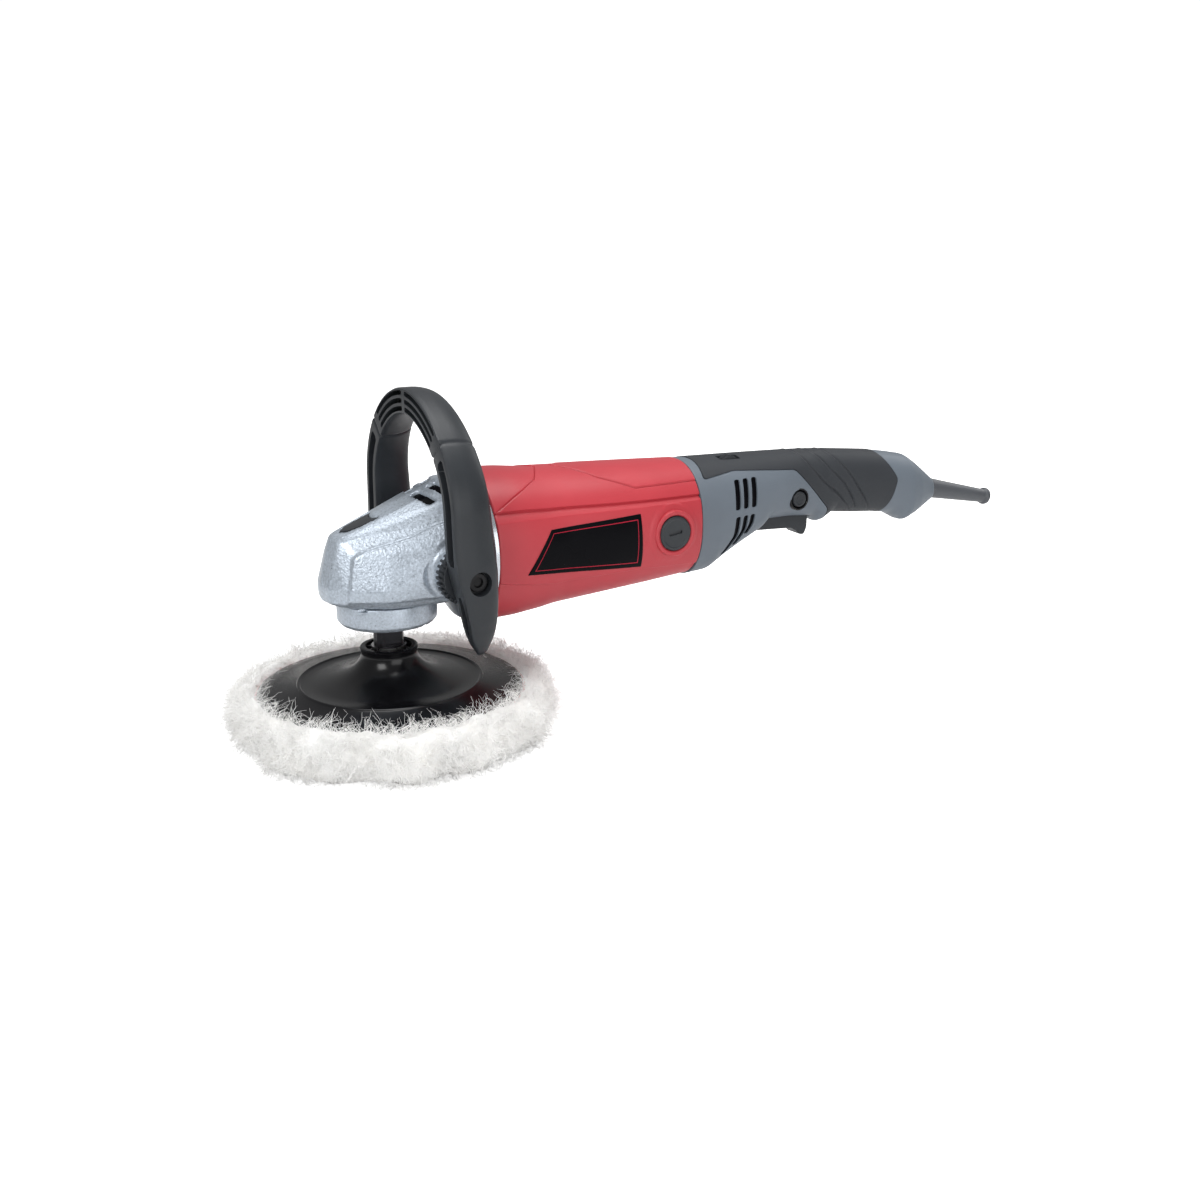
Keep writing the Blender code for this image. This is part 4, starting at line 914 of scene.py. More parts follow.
    def lock_button(self) -> None:
        """Dark shield-shaped button whose top follows the sloping roof."""
        button = prism("lock_button_cap", rounded(self.shield(0), 0.8, 3, closed=True), 143.5, 156, "XY")
        slope = 9.6 / 29
        roof = [(x, 150.3 + slope * (x + 8) + 0.7) for x in (-45, 10)]
        cut(button, prism("roof", [*roof, (10, 175), (-45, 175)], -30, 30))
        soften(button, 0.45, 3, 30)
        dress(button, SLOT_BLACK, "spindle_lock")
        pin = turned("lock_pin", [(0, 119.6), (2.2, 119.6), (2.2, 144), (0, 144)], (-12.6, 0, 0), steps=24)
        dress(pin, STEEL, "spindle_lock", "spindle_lock_button")


# ---------------------------------------------------------------- housings
def step_curve(value: float, width: float) -> float:
    """Smooth step from 0 to 1 as value goes from -width to +width."""
    t = max(0.0, min(1.0, (value + width) / (2 * width)))
    return t * t * (3 - 2 * t)


def along_line(line: Sequence[Flat], x: float) -> float:
    """Second coordinate of a polyline at x, held constant past its ends."""
    return float(np.interp(x, [p[0] for p in line], [p[1] for p in line]))


@dataclass
class Skin:
    """A housing's outer form: superellipse sections between stations (X, top, bottom, half width)."""

    stations: tuple[tuple[float, float, float, float], ...]
    exponent: float = 2.25
    blur: float = 2.5

    def section(self, x: float) -> tuple[float, float, float]:
        """Top, bottom and half width at x, with the kinks between stations rounded."""
        xs = [s[0] for s in self.stations]
        taps = [-1.5, -0.75, 0, 0.75, 1.5]
        weights = [0.12, 0.22, 0.32, 0.22, 0.12]
        spread = min(self.blur, x - xs[0], xs[-1] - x) if xs[0] < x < xs[-1] else 0.0
        return tuple(sum(w * float(np.interp(x + t * spread, xs, [s[k] for s in self.stations]))
                         for t, w in zip(taps, weights)) for k in (1, 2, 3))

    def point(self, x: float, degrees: float, lift: float = 0.0) -> Point:
        """The surface point at x and an angle from +Y towards +Z, raised by lift."""
        top, bottom, wide = self.section(x)
        high, middle = (top - bottom) / 2, (top + bottom) / 2
        c, s = math.cos(math.radians(degrees)), math.sin(math.radians(degrees))
        power = 2 / self.exponent
        y = (wide + lift) * math.copysign(abs(c) ** power, c)
        z = middle + (high + lift) * math.copysign(abs(s) ** power, s)
        return (x, y, z)

    def side_at(self, x: float, z: float, lift: float = 0.0) -> float:
        """Distance of the surface from the plane of symmetry at x and z."""
        top, bottom, wide = self.section(x)
        high, middle = (top - bottom) / 2 + lift, (top + bottom) / 2
        share = min(abs((z - middle) / high), 1.0)
        return (wide + lift) * (1 - share ** self.exponent) ** (1 / self.exponent)


@dataclass
class MotorHousing:
    """Red motor housing with its crease lines, badges and brush rings and caps."""

    skin: Skin = field(default_factory=lambda: Skin((
        (61.4, 177.0, 71.0, 51.0), (84.0, 176.0, 71.5, 50.0), (104.0, 173.6, 73.5, 48.3),
        (114.0, 173.0, 75.2, 47.3), (150.0, 171.3, 77.6, 46.2), (190.0, 169.4, 80.0, 43.4),
        (226.0, 167.6, 82.2, 38.6))))
    rear: float = 226.0
    line_depth: float = 0.75
    brush_x: float = 199.5
    wall: float = 3.0
    badge: tuple[Flat, ...] = ((82.0, 110.5), (173.5, 102.5), (172.0, 141.0), (101.0, 139.0))
    roof_crease: tuple[Flat, ...] = ((122, 92), (131.7, 80), (148, 60), (173, 43.5), (228, 45.5))
    nose_crease: tuple[Flat, ...] = ((61, 31), (74, 40.6), (86.7, 50.4), (100.4, 64), (112, 92))
    shoulder: tuple[Flat, ...] = ((61, 32.3), (110, 32.4), (158, 30.5), (228, 29.4))
    waist: tuple[Flat, ...] = ((61, 23), (108, 24.6), (176, 23.5), (228, 23.5))
    belly: tuple[Flat, ...] = ((61, -16), (108, -25.5), (175, -29.5), (228, -40))

    def build(self) -> None:
        """Builds and dresses the pieces of the motor housing."""
        self.shell()
        for side, word in SIDES:
            self.badge_plate(side, word)
            self.brush_port(side, word)
        rim = [(51.0, 58.2), (51.5, 58.6), (51.5, 61.0), (51.0, 61.35), (44.3, 61.35), (44.3, 58.2)]
        edge = turned("flange_edge", rim, (0, 0, MOTOR_Z), (1, 0, 0), 128)
        dress(edge, RIM, "body")

    def relief(self, x: float, degrees: float) -> float:
        """Height of the raised and sunk panels at x and an angle, in millimetres."""
        per_degree, crease, panel_step, belly_step, disc_rise = 0.8, 0.5, 0.5, 1.0, 0.75
        flank_sunk, flank_rise, disc_radius = 1.9, 2.2, 20.5
        folded = 180 - degrees if degrees > 90 else degrees
        above = (folded - along_line(self.roof_crease, x)) * per_degree
        ahead = (folded - along_line(self.nose_crease, x)) * per_degree
        on_roof, on_nose = step_curve(x - 122, 3), step_curve(114 - x, 2)
        shoulder, waist = along_line(self.shoulder, x), along_line(self.waist, x)
        share = max(0.0, min(1.0, (shoulder - folded) / (shoulder - waist)))
        flank = step_curve((shoulder - folded) * per_degree, 0.35) * (flank_rise * share - flank_sunk)
        flank -= belly_step * step_curve((along_line(self.belly, x) - folded) * per_degree, 0.5)
        ring = math.hypot(x - self.brush_x, self.skin.point(x, folded)[2] - MOTOR_Z)
        disc = step_curve(disc_radius - ring, 0.6) * (1 if abs(folded) < 60 else 0)
        panels = panel_step * (step_curve(above, 0.6) * on_roof - step_curve(ahead, 0.6) * on_nose)
        lines = math.exp(-(above / crease) ** 2) * on_roof + math.exp(-(ahead / crease) ** 2) * on_nose
        return panels - self.line_depth * lines + flank * (1 - disc) + disc_rise * disc

    def ring_angles(self, x: float) -> list[float]:
        """Angles of the mesh's points round one section, packed closely beside every crease."""
        belly, waist = along_line(self.belly, x), along_line(self.waist, x)
        shoulder = along_line(self.shoulder, x)
        upper = along_line(self.nose_crease if x < 117 else self.roof_crease, x)
        upper = min(max(upper, shoulder + 4.0), 86.0)
        half = list(np.linspace(-90, belly - 1.8, 14))
        for low, high, count in ((belly, waist, 26), (waist, shoulder, 6), (shoulder, upper, 22),
                                 (upper, 91.7, 16)):
            half += [low + step for step in (-1.3, -0.85, -0.5, -0.2, 0.1, 0.4, 0.75, 1.2)]
            half += list(np.linspace(low + 1.7, high - 1.7, count))
        return half + [180 - angle for angle in reversed(half[1:-1])]

    def shell(self) -> None:
        """The housing's outer and inner skins, closed at both ends."""
        xs = np.concatenate([[61.4, 61.7, 62.2], np.linspace(63, 224.6, 235), [225.3, 225.8, 226.0]])
        points = []
        for x in xs:
            end = min(x - 61.4, self.rear - x)
            tuck = -0.6 * (1 - min(end / 0.8, 1.0)) ** 2
            points += [self.skin.point(x, a, self.relief(x, a) + tuck) for a in self.ring_angles(x)]
        inner = [self.rear, 223, 200, 160, 120, 90, 64, 61.4]
        for x in inner:
            points += [self.skin.point(x, a, -self.wall) for a in self.ring_angles(x)]
        count = len(self.ring_angles(100.0))
        faces = stack_faces(len(xs) + len(inner), count, True)
        last = (len(xs) + len(inner) - 1) * count
        faces += [(last + i, last + (i + 1) % count, (i + 1) % count, i) for i in range(count)]
        housing = add_mesh("motor_housing_shell", points, faces, 50)
        dress(housing, RED, "body", "motor_housing")

    def badge_point(self, side: int, u: float, v: float, lift: float) -> Point:
        """A point of the badge at shares u along and v up its outline, off the housing by lift."""
        a, b, c, d = self.badge
        x = (1 - v) * ((1 - u) * a[0] + u * b[0]) + v * ((1 - u) * d[0] + u * c[0])
        z = (1 - v) * ((1 - u) * a[1] + u * b[1]) + v * ((1 - u) * d[1] + u * c[1])
        return (x, side * self.skin.side_at(x, z, 0.2 + lift), z)

    def badge_patch(self, name: str, side: int, us: Sequence[float], vs: Sequence[float],
                    lift: float, thick: float) -> bpy.types.Object:
        """A curved plate over part of the badge's outline."""
        points = [self.badge_point(side, u, v, h) for h in (lift, lift - thick) for v in vs for u in us]
        count, rows = len(us), len(vs)
        faces = stack_faces(rows, count, False) + stack_faces(rows, count, False, rows * count)
        rim = [*range(count), *((r + 1) * count - 1 for r in range(1, rows)),
               *range(rows * count - 2, (rows - 1) * count - 1, -1),
               *(r * count for r in range(rows - 2, 0, -1))]
        back = rows * count
        faces += [(a, b, b + back, a + back) for a, b in zip(rim, rim[1:] + rim[:1])]
        return add_mesh(name, points, faces, 40)

    def badge_plate(self, side: int, word: str) -> None:
        """Black badge film with a thin red line inside its edge, and nothing written on it."""
        us, vs = np.linspace(0, 1, 60), np.linspace(0, 1, 30)
        plate = self.badge_patch(f"badge_plate_{word}", side, us, vs, 0.55, 0.8)
        soften(plate, 0.2, 2, 60)
        dress(plate, BADGE_AND_SHADE_BLACK, "body", f"badge_{word}")
        edge, line = 0.040, 0.0065
        up, tall = 0.085, 0.016
        lift, thick = 0.62, 0.3
        across, upwards = np.linspace(edge, 1 - edge, 50), np.linspace(up, 1 - up, 20)
        runs = {"low": (across, (up, up + tall)), "high": (across, (1 - up - tall, 1 - up)),
                "near": ((edge, edge + line), upwards), "far": ((1 - edge - line, 1 - edge), upwards)}
        strips = [self.badge_patch(name, side, us, vs, lift, thick) for name, (us, vs) in runs.items()]
        dress(joined(f"badge_border_{word}", strips), BADGE_LINE, "body")

    def brush_port(self, side: int, word: str) -> None:
        """Raised red ring round the brush cap, and the slotted cap in it."""
        origin, axis = (self.brush_x, 0, MOTOR_Z), (0, side, 0)
        ring = rounded([(16.3, 37), (16.3, 45.2), (13.6, 45.2), (12.7, 44.2), (12.7, 37)], 0.9, 4)
        dress(turned(f"brush_ring_{word}", ring, origin, axis, 96), RED, "body")
        face = [(0, 45.3), (9.8, 45.3), (10.3, 45.7), (11.3, 45.7), (12.3, 45.0), (12.4, 40.0), (8, 40.0),
                (8, 34), (0, 34)]
        cap = turned(f"brush_cap_disc_{word}", rounded(face, 0.3, 3), origin, axis, 80)
        notch = rounded([(self.brush_x - 5.4, MOTOR_Z - 1.5), (self.brush_x + 5.4, MOTOR_Z - 0.2),
                         (self.brush_x + 5.2, MOTOR_Z + 2.1), (self.brush_x - 5.6, MOTOR_Z + 0.8)],
                        0.8, 3, closed=True)
        cut(cap, prism("notch", notch, *across(side, 44.1, 50.0)))
        smooth(cap.data, 40)
        dress(cap, SLOT_BLACK, "body", f"brush_cap_{word}")


@dataclass
class RearHandle:
    """Two grey shells with soft grips, the trigger, lock-on button, speed wheel and cord guard."""

    skin: Skin = field(default_factory=lambda: Skin((
        (226.4, 167.6, 82.2, 38.6), (243.0, 167.2, 83.0, 36.2), (258.0, 166.8, 91.5, 33.4),
        (275.0, 166.4, 99.5, 30.0), (292.0, 165.9, 107.0, 27.2), (300.0, 165.6, 114.5, 25.8),
        (322.0, 164.9, 114.3, 23.2), (343.0, 163.8, 112.0, 21.8), (351.0, 163.2, 106.5, 21.6),
        (362.0, 162.2, 113.6, 21.6), (385.0, 159.8, 110.8, 22.0), (405.0, 157.6, 109.0, 22.4),
        (421.0, 155.0, 106.0, 22.8), (436.0, 152.0, 98.0, 22.8), (446.0, 145.4, 102.0, 19.8),
        (466.5, 130.2, 111.2, 9.6)), 2.3, 1.2))
    grip: tuple[Flat, ...] = (
        (238.0, 180.0), (233.0, 156.2), (262.0, 159.2), (319.0, 154.0), (352.5, 119.5), (354.5, 96.0),
        (408.0, 96.0), (409.5, 111.0), (417.0, 137.0), (404.0, 158.5), (402.0, 180.0))
    grooves: tuple[tuple[Flat, ...], ...] = (
        ((322, 170), (327.8, 164.3), (335.2, 153.1), (346.3, 141.4), (359.5, 131.5), (376, 116)),
        ((336, 170), (342.5, 163.2), (348.1, 157), (355.5, 148.6), (365, 139.5), (380, 118)),
        ((351, 170), (357.1, 161.9), (362.1, 155.7), (369.6, 147.3), (379.9, 132.9), (396, 112)))
    lock_on: Flat = (322.0, 131.0)
    dial: Point = (266.0, -8.0, 158.8)
    guard_root: Point = (467.0, 0.0, 120.6)
    guard_tip: Point = (531.4, 0.0, 106.4)
    coarse_mesh: tuple[int, int] = (150, 44)
    fine_mesh: tuple[int, int] = (300, 92)

    def build(self) -> None:
        """Builds and dresses the pieces of the handle."""
        for side, word in SIDES:
            self.shell(side, word)
            self.soft_grip(side, word)
            # Near-black wall of painted shade behind the vents.
            self.vent_shade_sheet(side, word)
        self.trigger()
        self.buttons()
        self.guard()

    def half(self, name: str, side: int, low: float, high: float, lift: float, depth: float,
             relief: Optional[Callable[[float, float], float]] = None) -> bpy.types.Object:
        """Half of the handle's skin from X low to high, between lift and depth off its form.

        Args:
            name: name of the object.
            side: -1 for the side of the lock-on button, 1 for the other one.
            low: X of the front end.
            high: X of the rear end.
            lift: height of the outer face off the form.
            depth: height of the inner face off the form, below 0 inside it.
            relief: height to add to the outer face at X and Z, which also asks for a finer mesh.

        Returns:
            The half as a closed mesh object, a hair clear of the plane of symmetry.
        """
        gap = 0.12
        stations, arc = self.fine_mesh if relief else self.coarse_mesh
        angles = np.linspace(90, -90, arc)
        rings = []
        for x in np.linspace(low, high, stations):
            outer = [self.skin.point(x, a, lift) for a in angles]
            if relief:
                outer = [self.skin.point(x, a, lift + relief(x, spot[2])) for a, spot in zip(angles, outer)]
            inner = [self.skin.point(x, a, depth) for a in reversed(angles)]
            rings.append([(px, side * max(y, gap), z) for px, y, z in (*outer, *inner)])
        return lofted(name, rings, 50)

    def shell(self, side: int, word: str) -> None:
        """One grey shell with its vents, trigger slot, grip seat, cord guard hole and control holes."""
        part = self.half(f"handle_half_{word}", side, 226.4, 466.5, 0.0, -3.4)
        seat = self.half("grip_seat", side, 229.5, 440, 3.0, -1.7)
        limits = rounded(self.grown(self.grip, 0.45), 3, 4, closed=True)
        cut(seat, prism("grip_limits", limits, *across(side, -2.0, 60.0)), "INTERSECT")
        cut(part, seat)
        for outline in self.vents():
            cut(part, prism("vent", outline, *across(side, 12.0, 60.0)))
        slot = [(290, 90), (343.4, 90), (343.4, 121), (290, 121)]
        cut(part, prism("trigger_slot", slot, *across(side, -1.0, 8.6)))
        axis = Vector(self.guard_tip) - Vector(self.guard_root)
        cut(part, turned("guard_hole", [(0, -22), (8.7, -22), (8.7, 10), (0, 10)], self.guard_root, axis,
                         steps=48))
        if side < 0:
            cut(part, turned("button_hole", [(0, 10), (7.6, 10), (7.6, 40), (0, 40)],
                             (self.lock_on[0], 0, self.lock_on[1]), (0, -1, 0), steps=48))
            cut(part, self.dial_window())
        soften(part, 0.45, 2, 50)
        dress(part, GREY, "body", f"handle_shell_{word}")
        bore = [(6.2, 12.0), (8.6, 12.0), (8.6, 22.7), (8.2, 23.3), (7.4, 23.3), (6.7, 22.3), (6.2, 21.6)]
        if side < 0:
            collar = turned("lock_on_collar", bore, (self.lock_on[0], 0, self.lock_on[1]), (0, -1, 0), 64)
            dress(collar, GLOSS_BLACK, "body")

    @staticmethod
    def grown(outline: Sequence[Flat], distance: float) -> list[Flat]:
        """An outline moved outwards by distance."""
        count = len(outline)
        area = sum(outline[i - 1][0] * outline[i][1] - outline[i][0] * outline[i - 1][1]
                   for i in range(count))
        sign = 1 if area > 0 else -1
        moved = []
        for i in range(count):
            before, here, after = (Vector(outline[j % count]) for j in (i - 1, i, i + 1))
            normals = [Vector((e.y, -e.x)).normalized() * sign for e in (here - before, after - here)]
            bisector = (normals[0] + normals[1]).normalized()
            moved.append(tuple(here + bisector * distance / max(bisector.dot(normals[0]), 0.4)))
        return moved

    @staticmethod
    def vents() -> list[list[Flat]]:
        """Outlines of the six cooling slots: three upright and three that lean forwards."""
        outlines = []
        for x in (258.6, 266.7, 274.8):
            outlines.append([(x - 0.9, 131.2), (x + 4.3, 131.2), (x + 4.8, 142), (x + 5.6, 153),
                             (x + 0.4, 153), (x - 0.6, 142)])
        for x, lean, low in ((259.0, 8.5, 97.5), (266.6, 5.5, 103.5), (273.8, 3.0, 111.0)):
            knee = (125.5 + low) / 2
            outlines.append([(x - 0.6, 126.3), (x + 4.4, 126.3), (x + 3.8, knee), (x + 3 - lean, low),
                             (x - 1.8 - lean, low + 0.4), (x - 1.4, knee)])
        return [rounded(outline, 1.9, 4, closed=True) for outline in outlines]

    def vent_shade_sheet(self, side: int, word: str) -> None:
        """Painted shade: a thin near-black wall behind the vents, in place of the shaded inside of the
        handle.
        """
        part = self.half(f"vent_shade_sheet_{word}", side, 252.0, 287.0, -1.5, -4.0)
        limits = [(250, 93), (290, 93), (290, 155), (250, 155)]
        cut(part, prism("shade_sheet_limits", limits, *across(side, 11.0, 60.0)), "INTERSECT")
        dress(part, BADGE_AND_SHADE_BLACK, "body")

    def dial_window(self) -> bpy.types.Object:
        """The rectangular window that the speed wheel shows through."""
        x, y, _ = self.dial
        outline = rounded([(x - 8.9, y - 4.2), (x + 8.9, y - 4.2), (x + 8.9, y + 4.2), (x - 8.9, y + 4.2)],
                          1.0, 3, closed=True)
        return prism("dial_window", outline, 150, 180, "XY")

    def grip_relief(self, x: float, z: float) -> float:
        """Height of the grip's diagonal grooves at x and z: a cut with a raised lip behind it."""
        cut_depth, cut_width, lip, lip_width, lip_place = 1.25, 0.6, 0.35, 0.8, 1.5
        height = 0.0
        for line in self.grooves:
            near, reach = 1e9, 0.0
            for (x0, z0), (x1, z1) in zip(line, line[1:]):
                dx, dz = x1 - x0, z1 - z0
                t = max(0.0, min(1.0, ((x - x0) * dx + (z - z0) * dz) / (dx * dx + dz * dz)))
                off = math.hypot(x - x0 - t * dx, z - z0 - t * dz)
                if off < near:
                    near = off
                    reach = off * (1 if (x - x0) * dz - (z - z0) * dx < 0 else -1)
            fade = step_curve(z - 118, 8)
            height += (-cut_depth * math.exp(-(reach / cut_width) ** 2)
                       + lip * math.exp(-((reach + lip_place) / lip_width) ** 2)) * fade
        return height

    def soft_grip(self, side: int, word: str) -> None:
        """One soft overmoulding with rounded edges and three diagonal grooves."""
        part = self.half(f"grip_half_{word}", side, 229.0, 436, 0.35, -1.4, self.grip_relief)
        limits = rounded(self.grip, 3, 5, closed=True)
        cut(part, prism("grip_limits", limits, *across(side, -2.0, 60.0)), "INTERSECT")
        if side < 0:
            cut(part, self.dial_window())
        soften(part, 0.4, 2, 55)
        dress(part, SOFT, "body", f"soft_grip_{word}")

    def trigger(self) -> None:
        """Long trigger bar with a scooped face and a hooked tail."""
        outline = rounded([(297.5, 127), (294.3, 117), (294.5, 106.8), (310, 106.0), (327, 104.9),
                           (331.5, 102.0), (334.5, 98.9), (338.8, 98.6), (341.2, 104), (341.5, 117),
                           (335, 119.5), (307, 119.5), (304.5, 127)], 1.6, 4, closed=True)
        part = prism("trigger_bar", outline, -8, 8)
        axis = (0, 1, 0)
        cut(part, turned("pin_hole", [(0, -20), (1.7, -20), (1.7, 20), (0, 20)], (301, 0, 123.5), axis,
                         steps=24))
        soften(part, 0.9, 4, 50)
        dress(part, CHARCOAL, "trigger", "trigger")

    def buttons(self) -> None:
        """Lock-on button with a ringed face, and the ribbed speed wheel."""
        face = rounded([(0, 23.5), (3.4, 23.5), (3.9, 24.0), (4.6, 24.2), (5.5, 23.7), (6.0, 22.8),
                        (6.0, 13.5), (0, 13.5)], 0.3, 3)
        knob = turned("lock_on_knob", face, (self.lock_on[0], 0, self.lock_on[1]), (0, -1, 0), 64)
        dress(knob, CHARCOAL, "lock_on", "lock_on_button")
        wheel = rounded([(8.7, 3.4), (8.7, -3.4), (1.5, -3.4), (1.5, 3.4)], 0.4, 3)
        disc = turned("speed_wheel_disc", wheel, self.dial, (0, 1, 0), 72)
        ribs = ribs_round("speed_wheel_ribs", rib_ring_tree(), CHARCOAL, self.dial, (0, 1, 0), Count=40,
                          Radius=8.7 * MM, Width=0.6 * MM, Reach=0.6 * MM, Height=6.2 * MM)
        dress(ribs, CHARCOAL, "speed_wheel")
        dress(disc, CHARCOAL, "speed_wheel", "speed_dial")

    def guard(self) -> None:
        """Tapered rubber cord guard with an open end rim."""
        axis = Vector(self.guard_tip) - Vector(self.guard_root)
        length = axis.length
        outer = [(8.2, -11), (8.2, 1.2), (7.9, 3.0), (7.1, 22), (6.3, 42), (5.6, length - 5.5),
                 (5.8, length - 4.4), (6.8, length - 3.2), (7.0, length - 1.2), (6.6, length)]
        profile = [(9.6, -14), (9.6, -11.5), *outer, (4.2, length), (4.0, length - 0.6), (4.0, -14)]
        part = turned("cord_guard_sleeve", rounded(profile, 0.5, 3), self.guard_root, axis, 64)
        dress(part, RUBBER, "body", "cord_guard")


# ---------------------------------------------------------------- loop handle
@dataclass
class LoopHandle:
    """Loop handle of channel section with slotted front, its spacers and bolts."""

    x: float = LOOP_X
    z: float = LOOP_Z
    half_span: float = 71.5
    rise: float = 106.0
    front: float = 17.8
    base: float = 43.0
    spacer: Flat = (52.0, 62.1)
    tail: tuple[Point, ...] = (
        (-48.9, 17.4, 21.4), (-48.3, 16.3, 22.7), (-46.6, 15.0, 24.3), (-43.0, 13.3, 26.0),
        (-39.5, 11.9, 27.5), (-36.0, 10.9, 28.7), (-32.5, 10.0, 29.5), (-26.0, 8.7, 30.4),
        (-19.0, 7.3, 30.9), (-12.0, 5.5, 31.0), (-3.0, 3.2, 31.0), (6.0, 1.3, 31.0), (16.0, 0.0, 30.0))

    def build(self) -> None:
        """Builds and dresses the loop handle and what holds it."""
        self.handle()
        for side, word in SIDES:
            self.mounting(side, word)

    def centre_line(self) -> list[tuple[float, float, float]]:
        """Half the loop from its tail to its crown: distance out, height and thickness."""
        leg = [(68.8, -48.9, 5.0), (69.2, -48.3, 7.6), (69.9, -46.6, 9.8), (70.3, -43.5, 11.6),
               (71.1, -38.5, 13.6), (71.6, -34, 15.2), (72.2, -27, 17.0), (72.6, -20, 18.0),
               (73.3, -11, 18.6), (73.5, 0, 18.9), (73.4, 11, 19.0), (72.6, 22, 19.0),
               (72.0, 33, 19.0), (self.half_span, self.base, 19.0)]
        fine = []
        for a, b in zip(leg, leg[1:]):
            count = max(1, round((b[1] - a[1]) / 2.0))
            fine += [tuple(p + (q - p) * k / count for p, q in zip(a, b)) for k in range(count)]
        steps = 110
        for i in range(steps + 1):
            angle = math.pi / 2 * i / steps
            c, s = math.cos(angle), math.sin(angle)
            out = self.half_span * max(c, 0) ** (2 / 1.85)
            up = self.base + (self.rise - self.base) * s ** (2 / 1.85)
            fine.append((out, up, 19.0 - 2.0 * s))
        return fine

    def frames(self) -> list[tuple[Vector, Vector, float]]:
        """Centre, outward direction and thickness at each station of the whole loop."""
        half = self.centre_line()
        path = [(-y, r, t) for y, r, t in half] + [(y, r, t) for y, r, t in half[-2::-1]]
        made = []
        for i, (y, up, thick) in enumerate(path):
            a, b = path[max(i - 1, 0)], path[min(i + 1, len(path) - 1)]
            tangent = Vector((b[0] - a[0], b[1] - a[1])).normalized()
            made.append((Vector((y, up)), Vector((-tangent.y, tangent.x)), thick))
        return made

    def depth_at(self, up: float) -> tuple[float, float]:
        """Depth of the section and the X of its front face at a height above the bolts."""
        depth = 31.0 - 7.0 * max(up, 0) / self.rise
        heights, fronts, rears = zip(*self.tail)
        if up < heights[-1]:
            ahead = float(np.interp(up, heights, fronts))
            return float(np.interp(up, heights, rears)) - ahead, self.front + ahead
        return depth, self.front

    def handle(self) -> None:
        """The loop itself: a swept rounded section with slots cut in its front face."""
        rings = []
        for centre, outward, thick in self.frames():
            depth, front = self.depth_at(centre.y)
            half = thick / 2
            seam = 0.75 * math.exp(-((centre.y - 81.5) / 0.7) ** 2)
            section = self.section(half, depth, seam)
            rings.append([(front + x, centre.x + u * outward.x, self.z + centre.y + u * outward.y)
                          for u, x in section])
        part = lofted("loop_handle_grip", rings, 50)
        outer = self.spacer[1]
        for side, _ in SIDES:
            axis = (0, side, 0)
            boss = turned("boss", [(0, outer + 0.3), (12.4, outer + 0.3), (12.4, 70), (0, 70)],
                          (self.x, 0, self.z), axis, 56)
            cut(part, boss, "UNION")
            cut(part, turned("recess", [(0, 64), (4.5, 64), (4.5, 74.2), (7.9, 74.2), (7.9, 94), (0, 94)],
                             (self.x, 0, self.z), axis, 56))
            cut(part, turned("bolt_hole", [(0, 50), (4.4, 50), (4.4, 80), (0, 80)],
                             (self.x, 0, self.z), axis, 40))
        for tool in self.slots():
            cut(part, tool)
        soften(part, 0.55, 2, 48)
        dress(part, CHARCOAL, "loop", "loop_handle")

    @staticmethod
    def section(half: float, depth: float, seam: float) -> list[Flat]:
        """Outline of the section: flat front, rounded sides and back, drawn in by a seam line."""
        half -= seam
        edge = min(1.6, half * 0.35)
        outline = [(half - edge, seam), (half - edge * 0.4, 0.25 + seam), (half, edge + seam)]
        for i in range(1, 15):
            angle = math.pi / 2 * i / 14
            u = half * math.cos(angle) ** 0.8 if i < 14 else 0.0
            outline.append((u, depth * 0.34 + (depth * 0.66 - seam) * math.sin(angle) ** 1.1))
        outline.insert(3, (half, depth * 0.2))
        return [*outline, *((-u, x) for u, x in reversed(outline[:-1]))]

    def slots(self) -> list[bpy.types.Object]:
        """Slots along the front: one down each leg, one on each tail and three round each quarter."""
        runs = [(-38.0, -9.0, 6.6), (9.5, 75.5, 9.4)]
        tools = []
        frames = self.frames()
        middle = len(frames) // 2
        for side in (0, 1):
            half = frames[:middle + 1] if side == 0 else frames[:middle - 1:-1]
            for low, high, width in runs:
                picked = [f for f in half if low <= f[0].y <= high and abs(f[0].x) > 30]
                tools.append(self.slot_tool(picked, 0.0, width, 10.0))
            arch = [f for f in half if f[0].y > 86.5 and abs(f[0].x) > 2.2]
            for shift, width in ((-5.5, 3.5), (0.0, 3.5), (5.5, 3.5)):
                tools.append(self.slot_tool(arch, shift, width, 9.0))
        return tools

    def slot_tool(self, frames: Sequence[tuple[Vector, Vector, float]], shift: float, width: float,
                  depth: float) -> bpy.types.Object:
        """A cutter that follows the loop, shift millimetres outwards of its centre line."""
        rings = []
        for index, (centre, outward, thick) in enumerate(frames):
            _, front = self.depth_at(centre.y)
            scale = min(1.0, thick / 18.0)
            end = min(index, len(frames) - 1 - index)
            half = width / 2 * scale * (0.55, 0.85, 1.0)[min(end, 2)]
            ring = []
            for u, x in ((-half, -2), (half, -2), (half * 0.86, depth), (-half * 0.86, depth)):
                spot = centre + outward * (shift * scale + u)
                ring.append((front + x, spot.x, self.z + spot.y))
            rings.append(ring)
        return lofted("slot", rings)

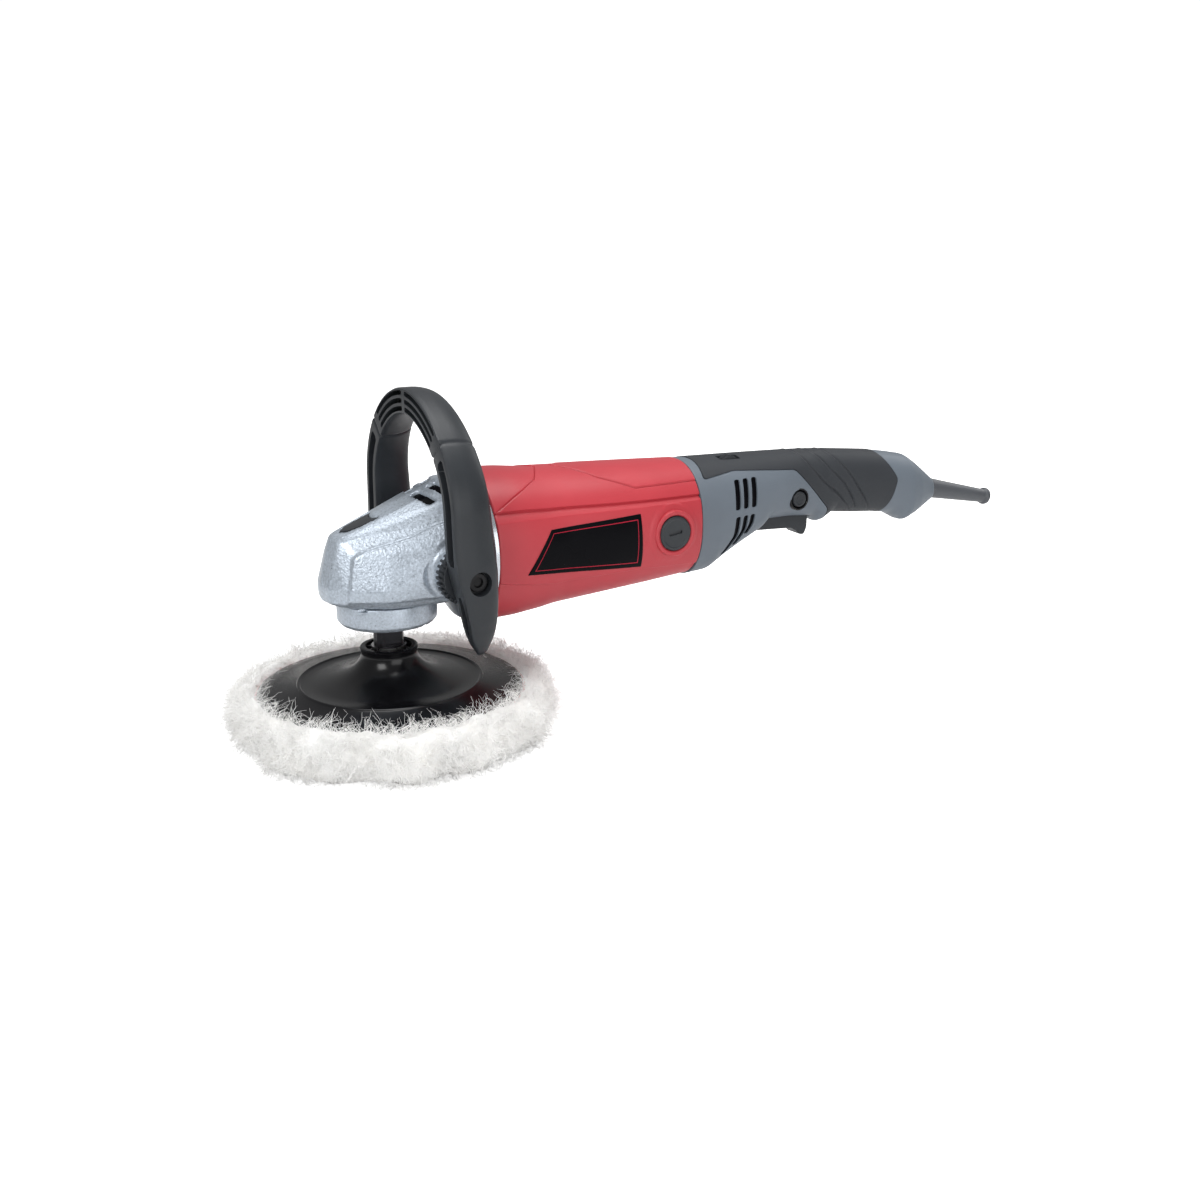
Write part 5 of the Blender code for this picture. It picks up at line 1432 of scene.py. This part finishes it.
    def mounting(self, side: int, word: str) -> None:
        """Ribbed spacer between loop and gear head, and the socket-headed bolt through it."""
        origin, axis = (self.x, 0, self.z), (0, side, 0)
        inner, outer = self.spacer
        profile = rounded([(16.4, outer), (17.4, outer - 1.5), (17.4, inner + 1.5), (16.4, inner),
                           (4.4, inner), (4.4, outer)], 0.5, 3)
        disc = turned(f"loop_spacer_disc_{word}", profile, origin, axis, 72)
        dress(disc, CHARCOAL, "body", f"loop_spacer_{word}")
        rosette = ribs_round(f"loop_rosette_{word}", rib_ring_tree(), CHARCOAL,
                             (self.x, side * (inner + outer) / 2, self.z), axis, Count=30,
                             Radius=17.8 * MM, Width=2.0 * MM, Reach=2.6 * MM, Height=8.6 * MM)
        soften(rosette, 0.4, 2, 40)
        dress(rosette, CHARCOAL, "body")
        head = [(0, 75.2), (3.0, 75.2), (3.3, 77.6), (6.0, 77.6), (6.4, 77), (6.4, 74.4), (4, 74.4),
                (4, 39), (0, 39)]
        bolt = turned(f"loop_bolt_head_{word}", rounded(head, 0.3, 3), origin, axis, 48)
        dress(bolt, BOLT_BLACK, "body", f"loop_bolt_{word}")


# ---------------------------------------------------------------- studio
@dataclass
class Studio:
    """Camera, pale floor and soft lights."""

    eye: Point = (-0.3014, -0.8623, 0.3609)
    target: Point = (0.1629, 0.0, 0.0689)
    roll: float = -0.3
    lens: float = 42.0
    sky_light: float = 0.36
    sky_seen: float = 1.05
    floor_glow: float = 0.75

    def build(self) -> None:
        """Sets the camera, the floor, the sky and the lamps."""
        camera = bpy.data.cameras.new("camera")
        camera.lens, camera.sensor_width = self.lens, 36.0
        camera.clip_start, camera.clip_end = 0.01, 50.0
        view = new_object("camera", camera)
        view.location = self.eye
        aim = (Vector(self.target) - Vector(self.eye)).to_track_quat("-Z", "Y").to_matrix()
        turn = Matrix.Rotation(math.radians(self.roll), 3, "Z")
        view.rotation_euler = (aim @ turn).to_euler()
        bpy.context.scene.camera = view
        self.floor()
        self.sky()
        self.lamp("key", (-1.2, -0.9, 1.1), 0.8, 14)
        self.lamp("front", (0.3, -1.9, 0.4), 1.4, 14)
        self.lamp("top", (0.25, 0.05, 1.6), 1.2, 22)
        self.lamp("side", (1.6, 0.3, 0.9), 0.8, 4)
        bpy.context.scene.view_settings.view_transform = "Standard"

    def floor(self) -> None:
        """A wide pale floor that the wool rests on."""
        size = 6000.0
        plane = add_mesh("studio_floor", [(-size, -size, 0), (size, -size, 0), (size, size, 0),
                                          (-size, size, 0)], [(0, 1, 2, 3)], None)
        material = bpy.data.materials.new("studio_floor")
        material.use_nodes = True
        shader = material.node_tree.nodes["Principled BSDF"]
        shader.inputs["Base Color"].default_value = (0.86, 0.86, 0.86, 1)
        shader.inputs["Roughness"].default_value = 0.9
        shader.inputs["Emission Color"].default_value = (1, 1, 1, 1)
        seen = material.node_tree.nodes.new("ShaderNodeLightPath").outputs["Is Camera Ray"]
        glow = math_node(material.node_tree, "MULTIPLY", seen, self.floor_glow)
        material.node_tree.links.new(glow, shader.inputs["Emission Strength"])
        plane.data.materials.append(material)

    def sky(self) -> None:
        """Even white surroundings."""
        world = bpy.data.worlds.new("studio")
        world.use_nodes = True
        tree = world.node_tree
        seen = tree.nodes.new("ShaderNodeLightPath").outputs["Is Camera Ray"]
        strength = math_node(tree, "MULTIPLY_ADD", seen, self.sky_seen - self.sky_light, self.sky_light)
        tree.nodes["Background"].inputs["Color"].default_value = (1, 1, 1, 1)
        tree.links.new(strength, tree.nodes["Background"].inputs["Strength"])
        bpy.context.scene.world = world

    def lamp(self, name: str, place: Point, size: float, power: float) -> None:
        """A square soft light that points at the object's middle."""
        light = bpy.data.lights.new(name, "AREA")
        light.size, light.energy = size, power
        lamp = new_object(name, light)
        lamp.location = place
        aim = Vector((0.18, 0, 0.08)) - Vector(place)
        lamp.rotation_euler = aim.to_track_quat("-Z", "Y").to_euler()


def dress_frame(frame: dict) -> None:
    """Gives every CAD node that still shows the finish of its slot.
    """
    slots = {row["node"]: row["material_slot"] for row in frame["record"]["subparts"]}
    for name, node in frame["nodes"].items():
        if node.hide_render:
            continue
        finish = PLAIN_FINISHES.get(slots.get(name, ""), STEEL)
        node.data.materials.clear()
        node.data.materials.append(finish.build())


def main() -> None:
    """Builds the sub-assemblies round the CAD frame in order."""
    logging.basicConfig(level=logging.INFO, format="%(name)s %(message)s")
    noise.seed_set(NOISE_SEED)
    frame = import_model()
    Studio().build()
    for assembly in (GearHead(), MotorHousing(), RearHandle(), LoopHandle(), PadAssembly()):
        assembly.build()
        LOG.info("built %s", type(assembly).__name__)
    dress_frame(frame)


if __name__ == "__main__":
    main()
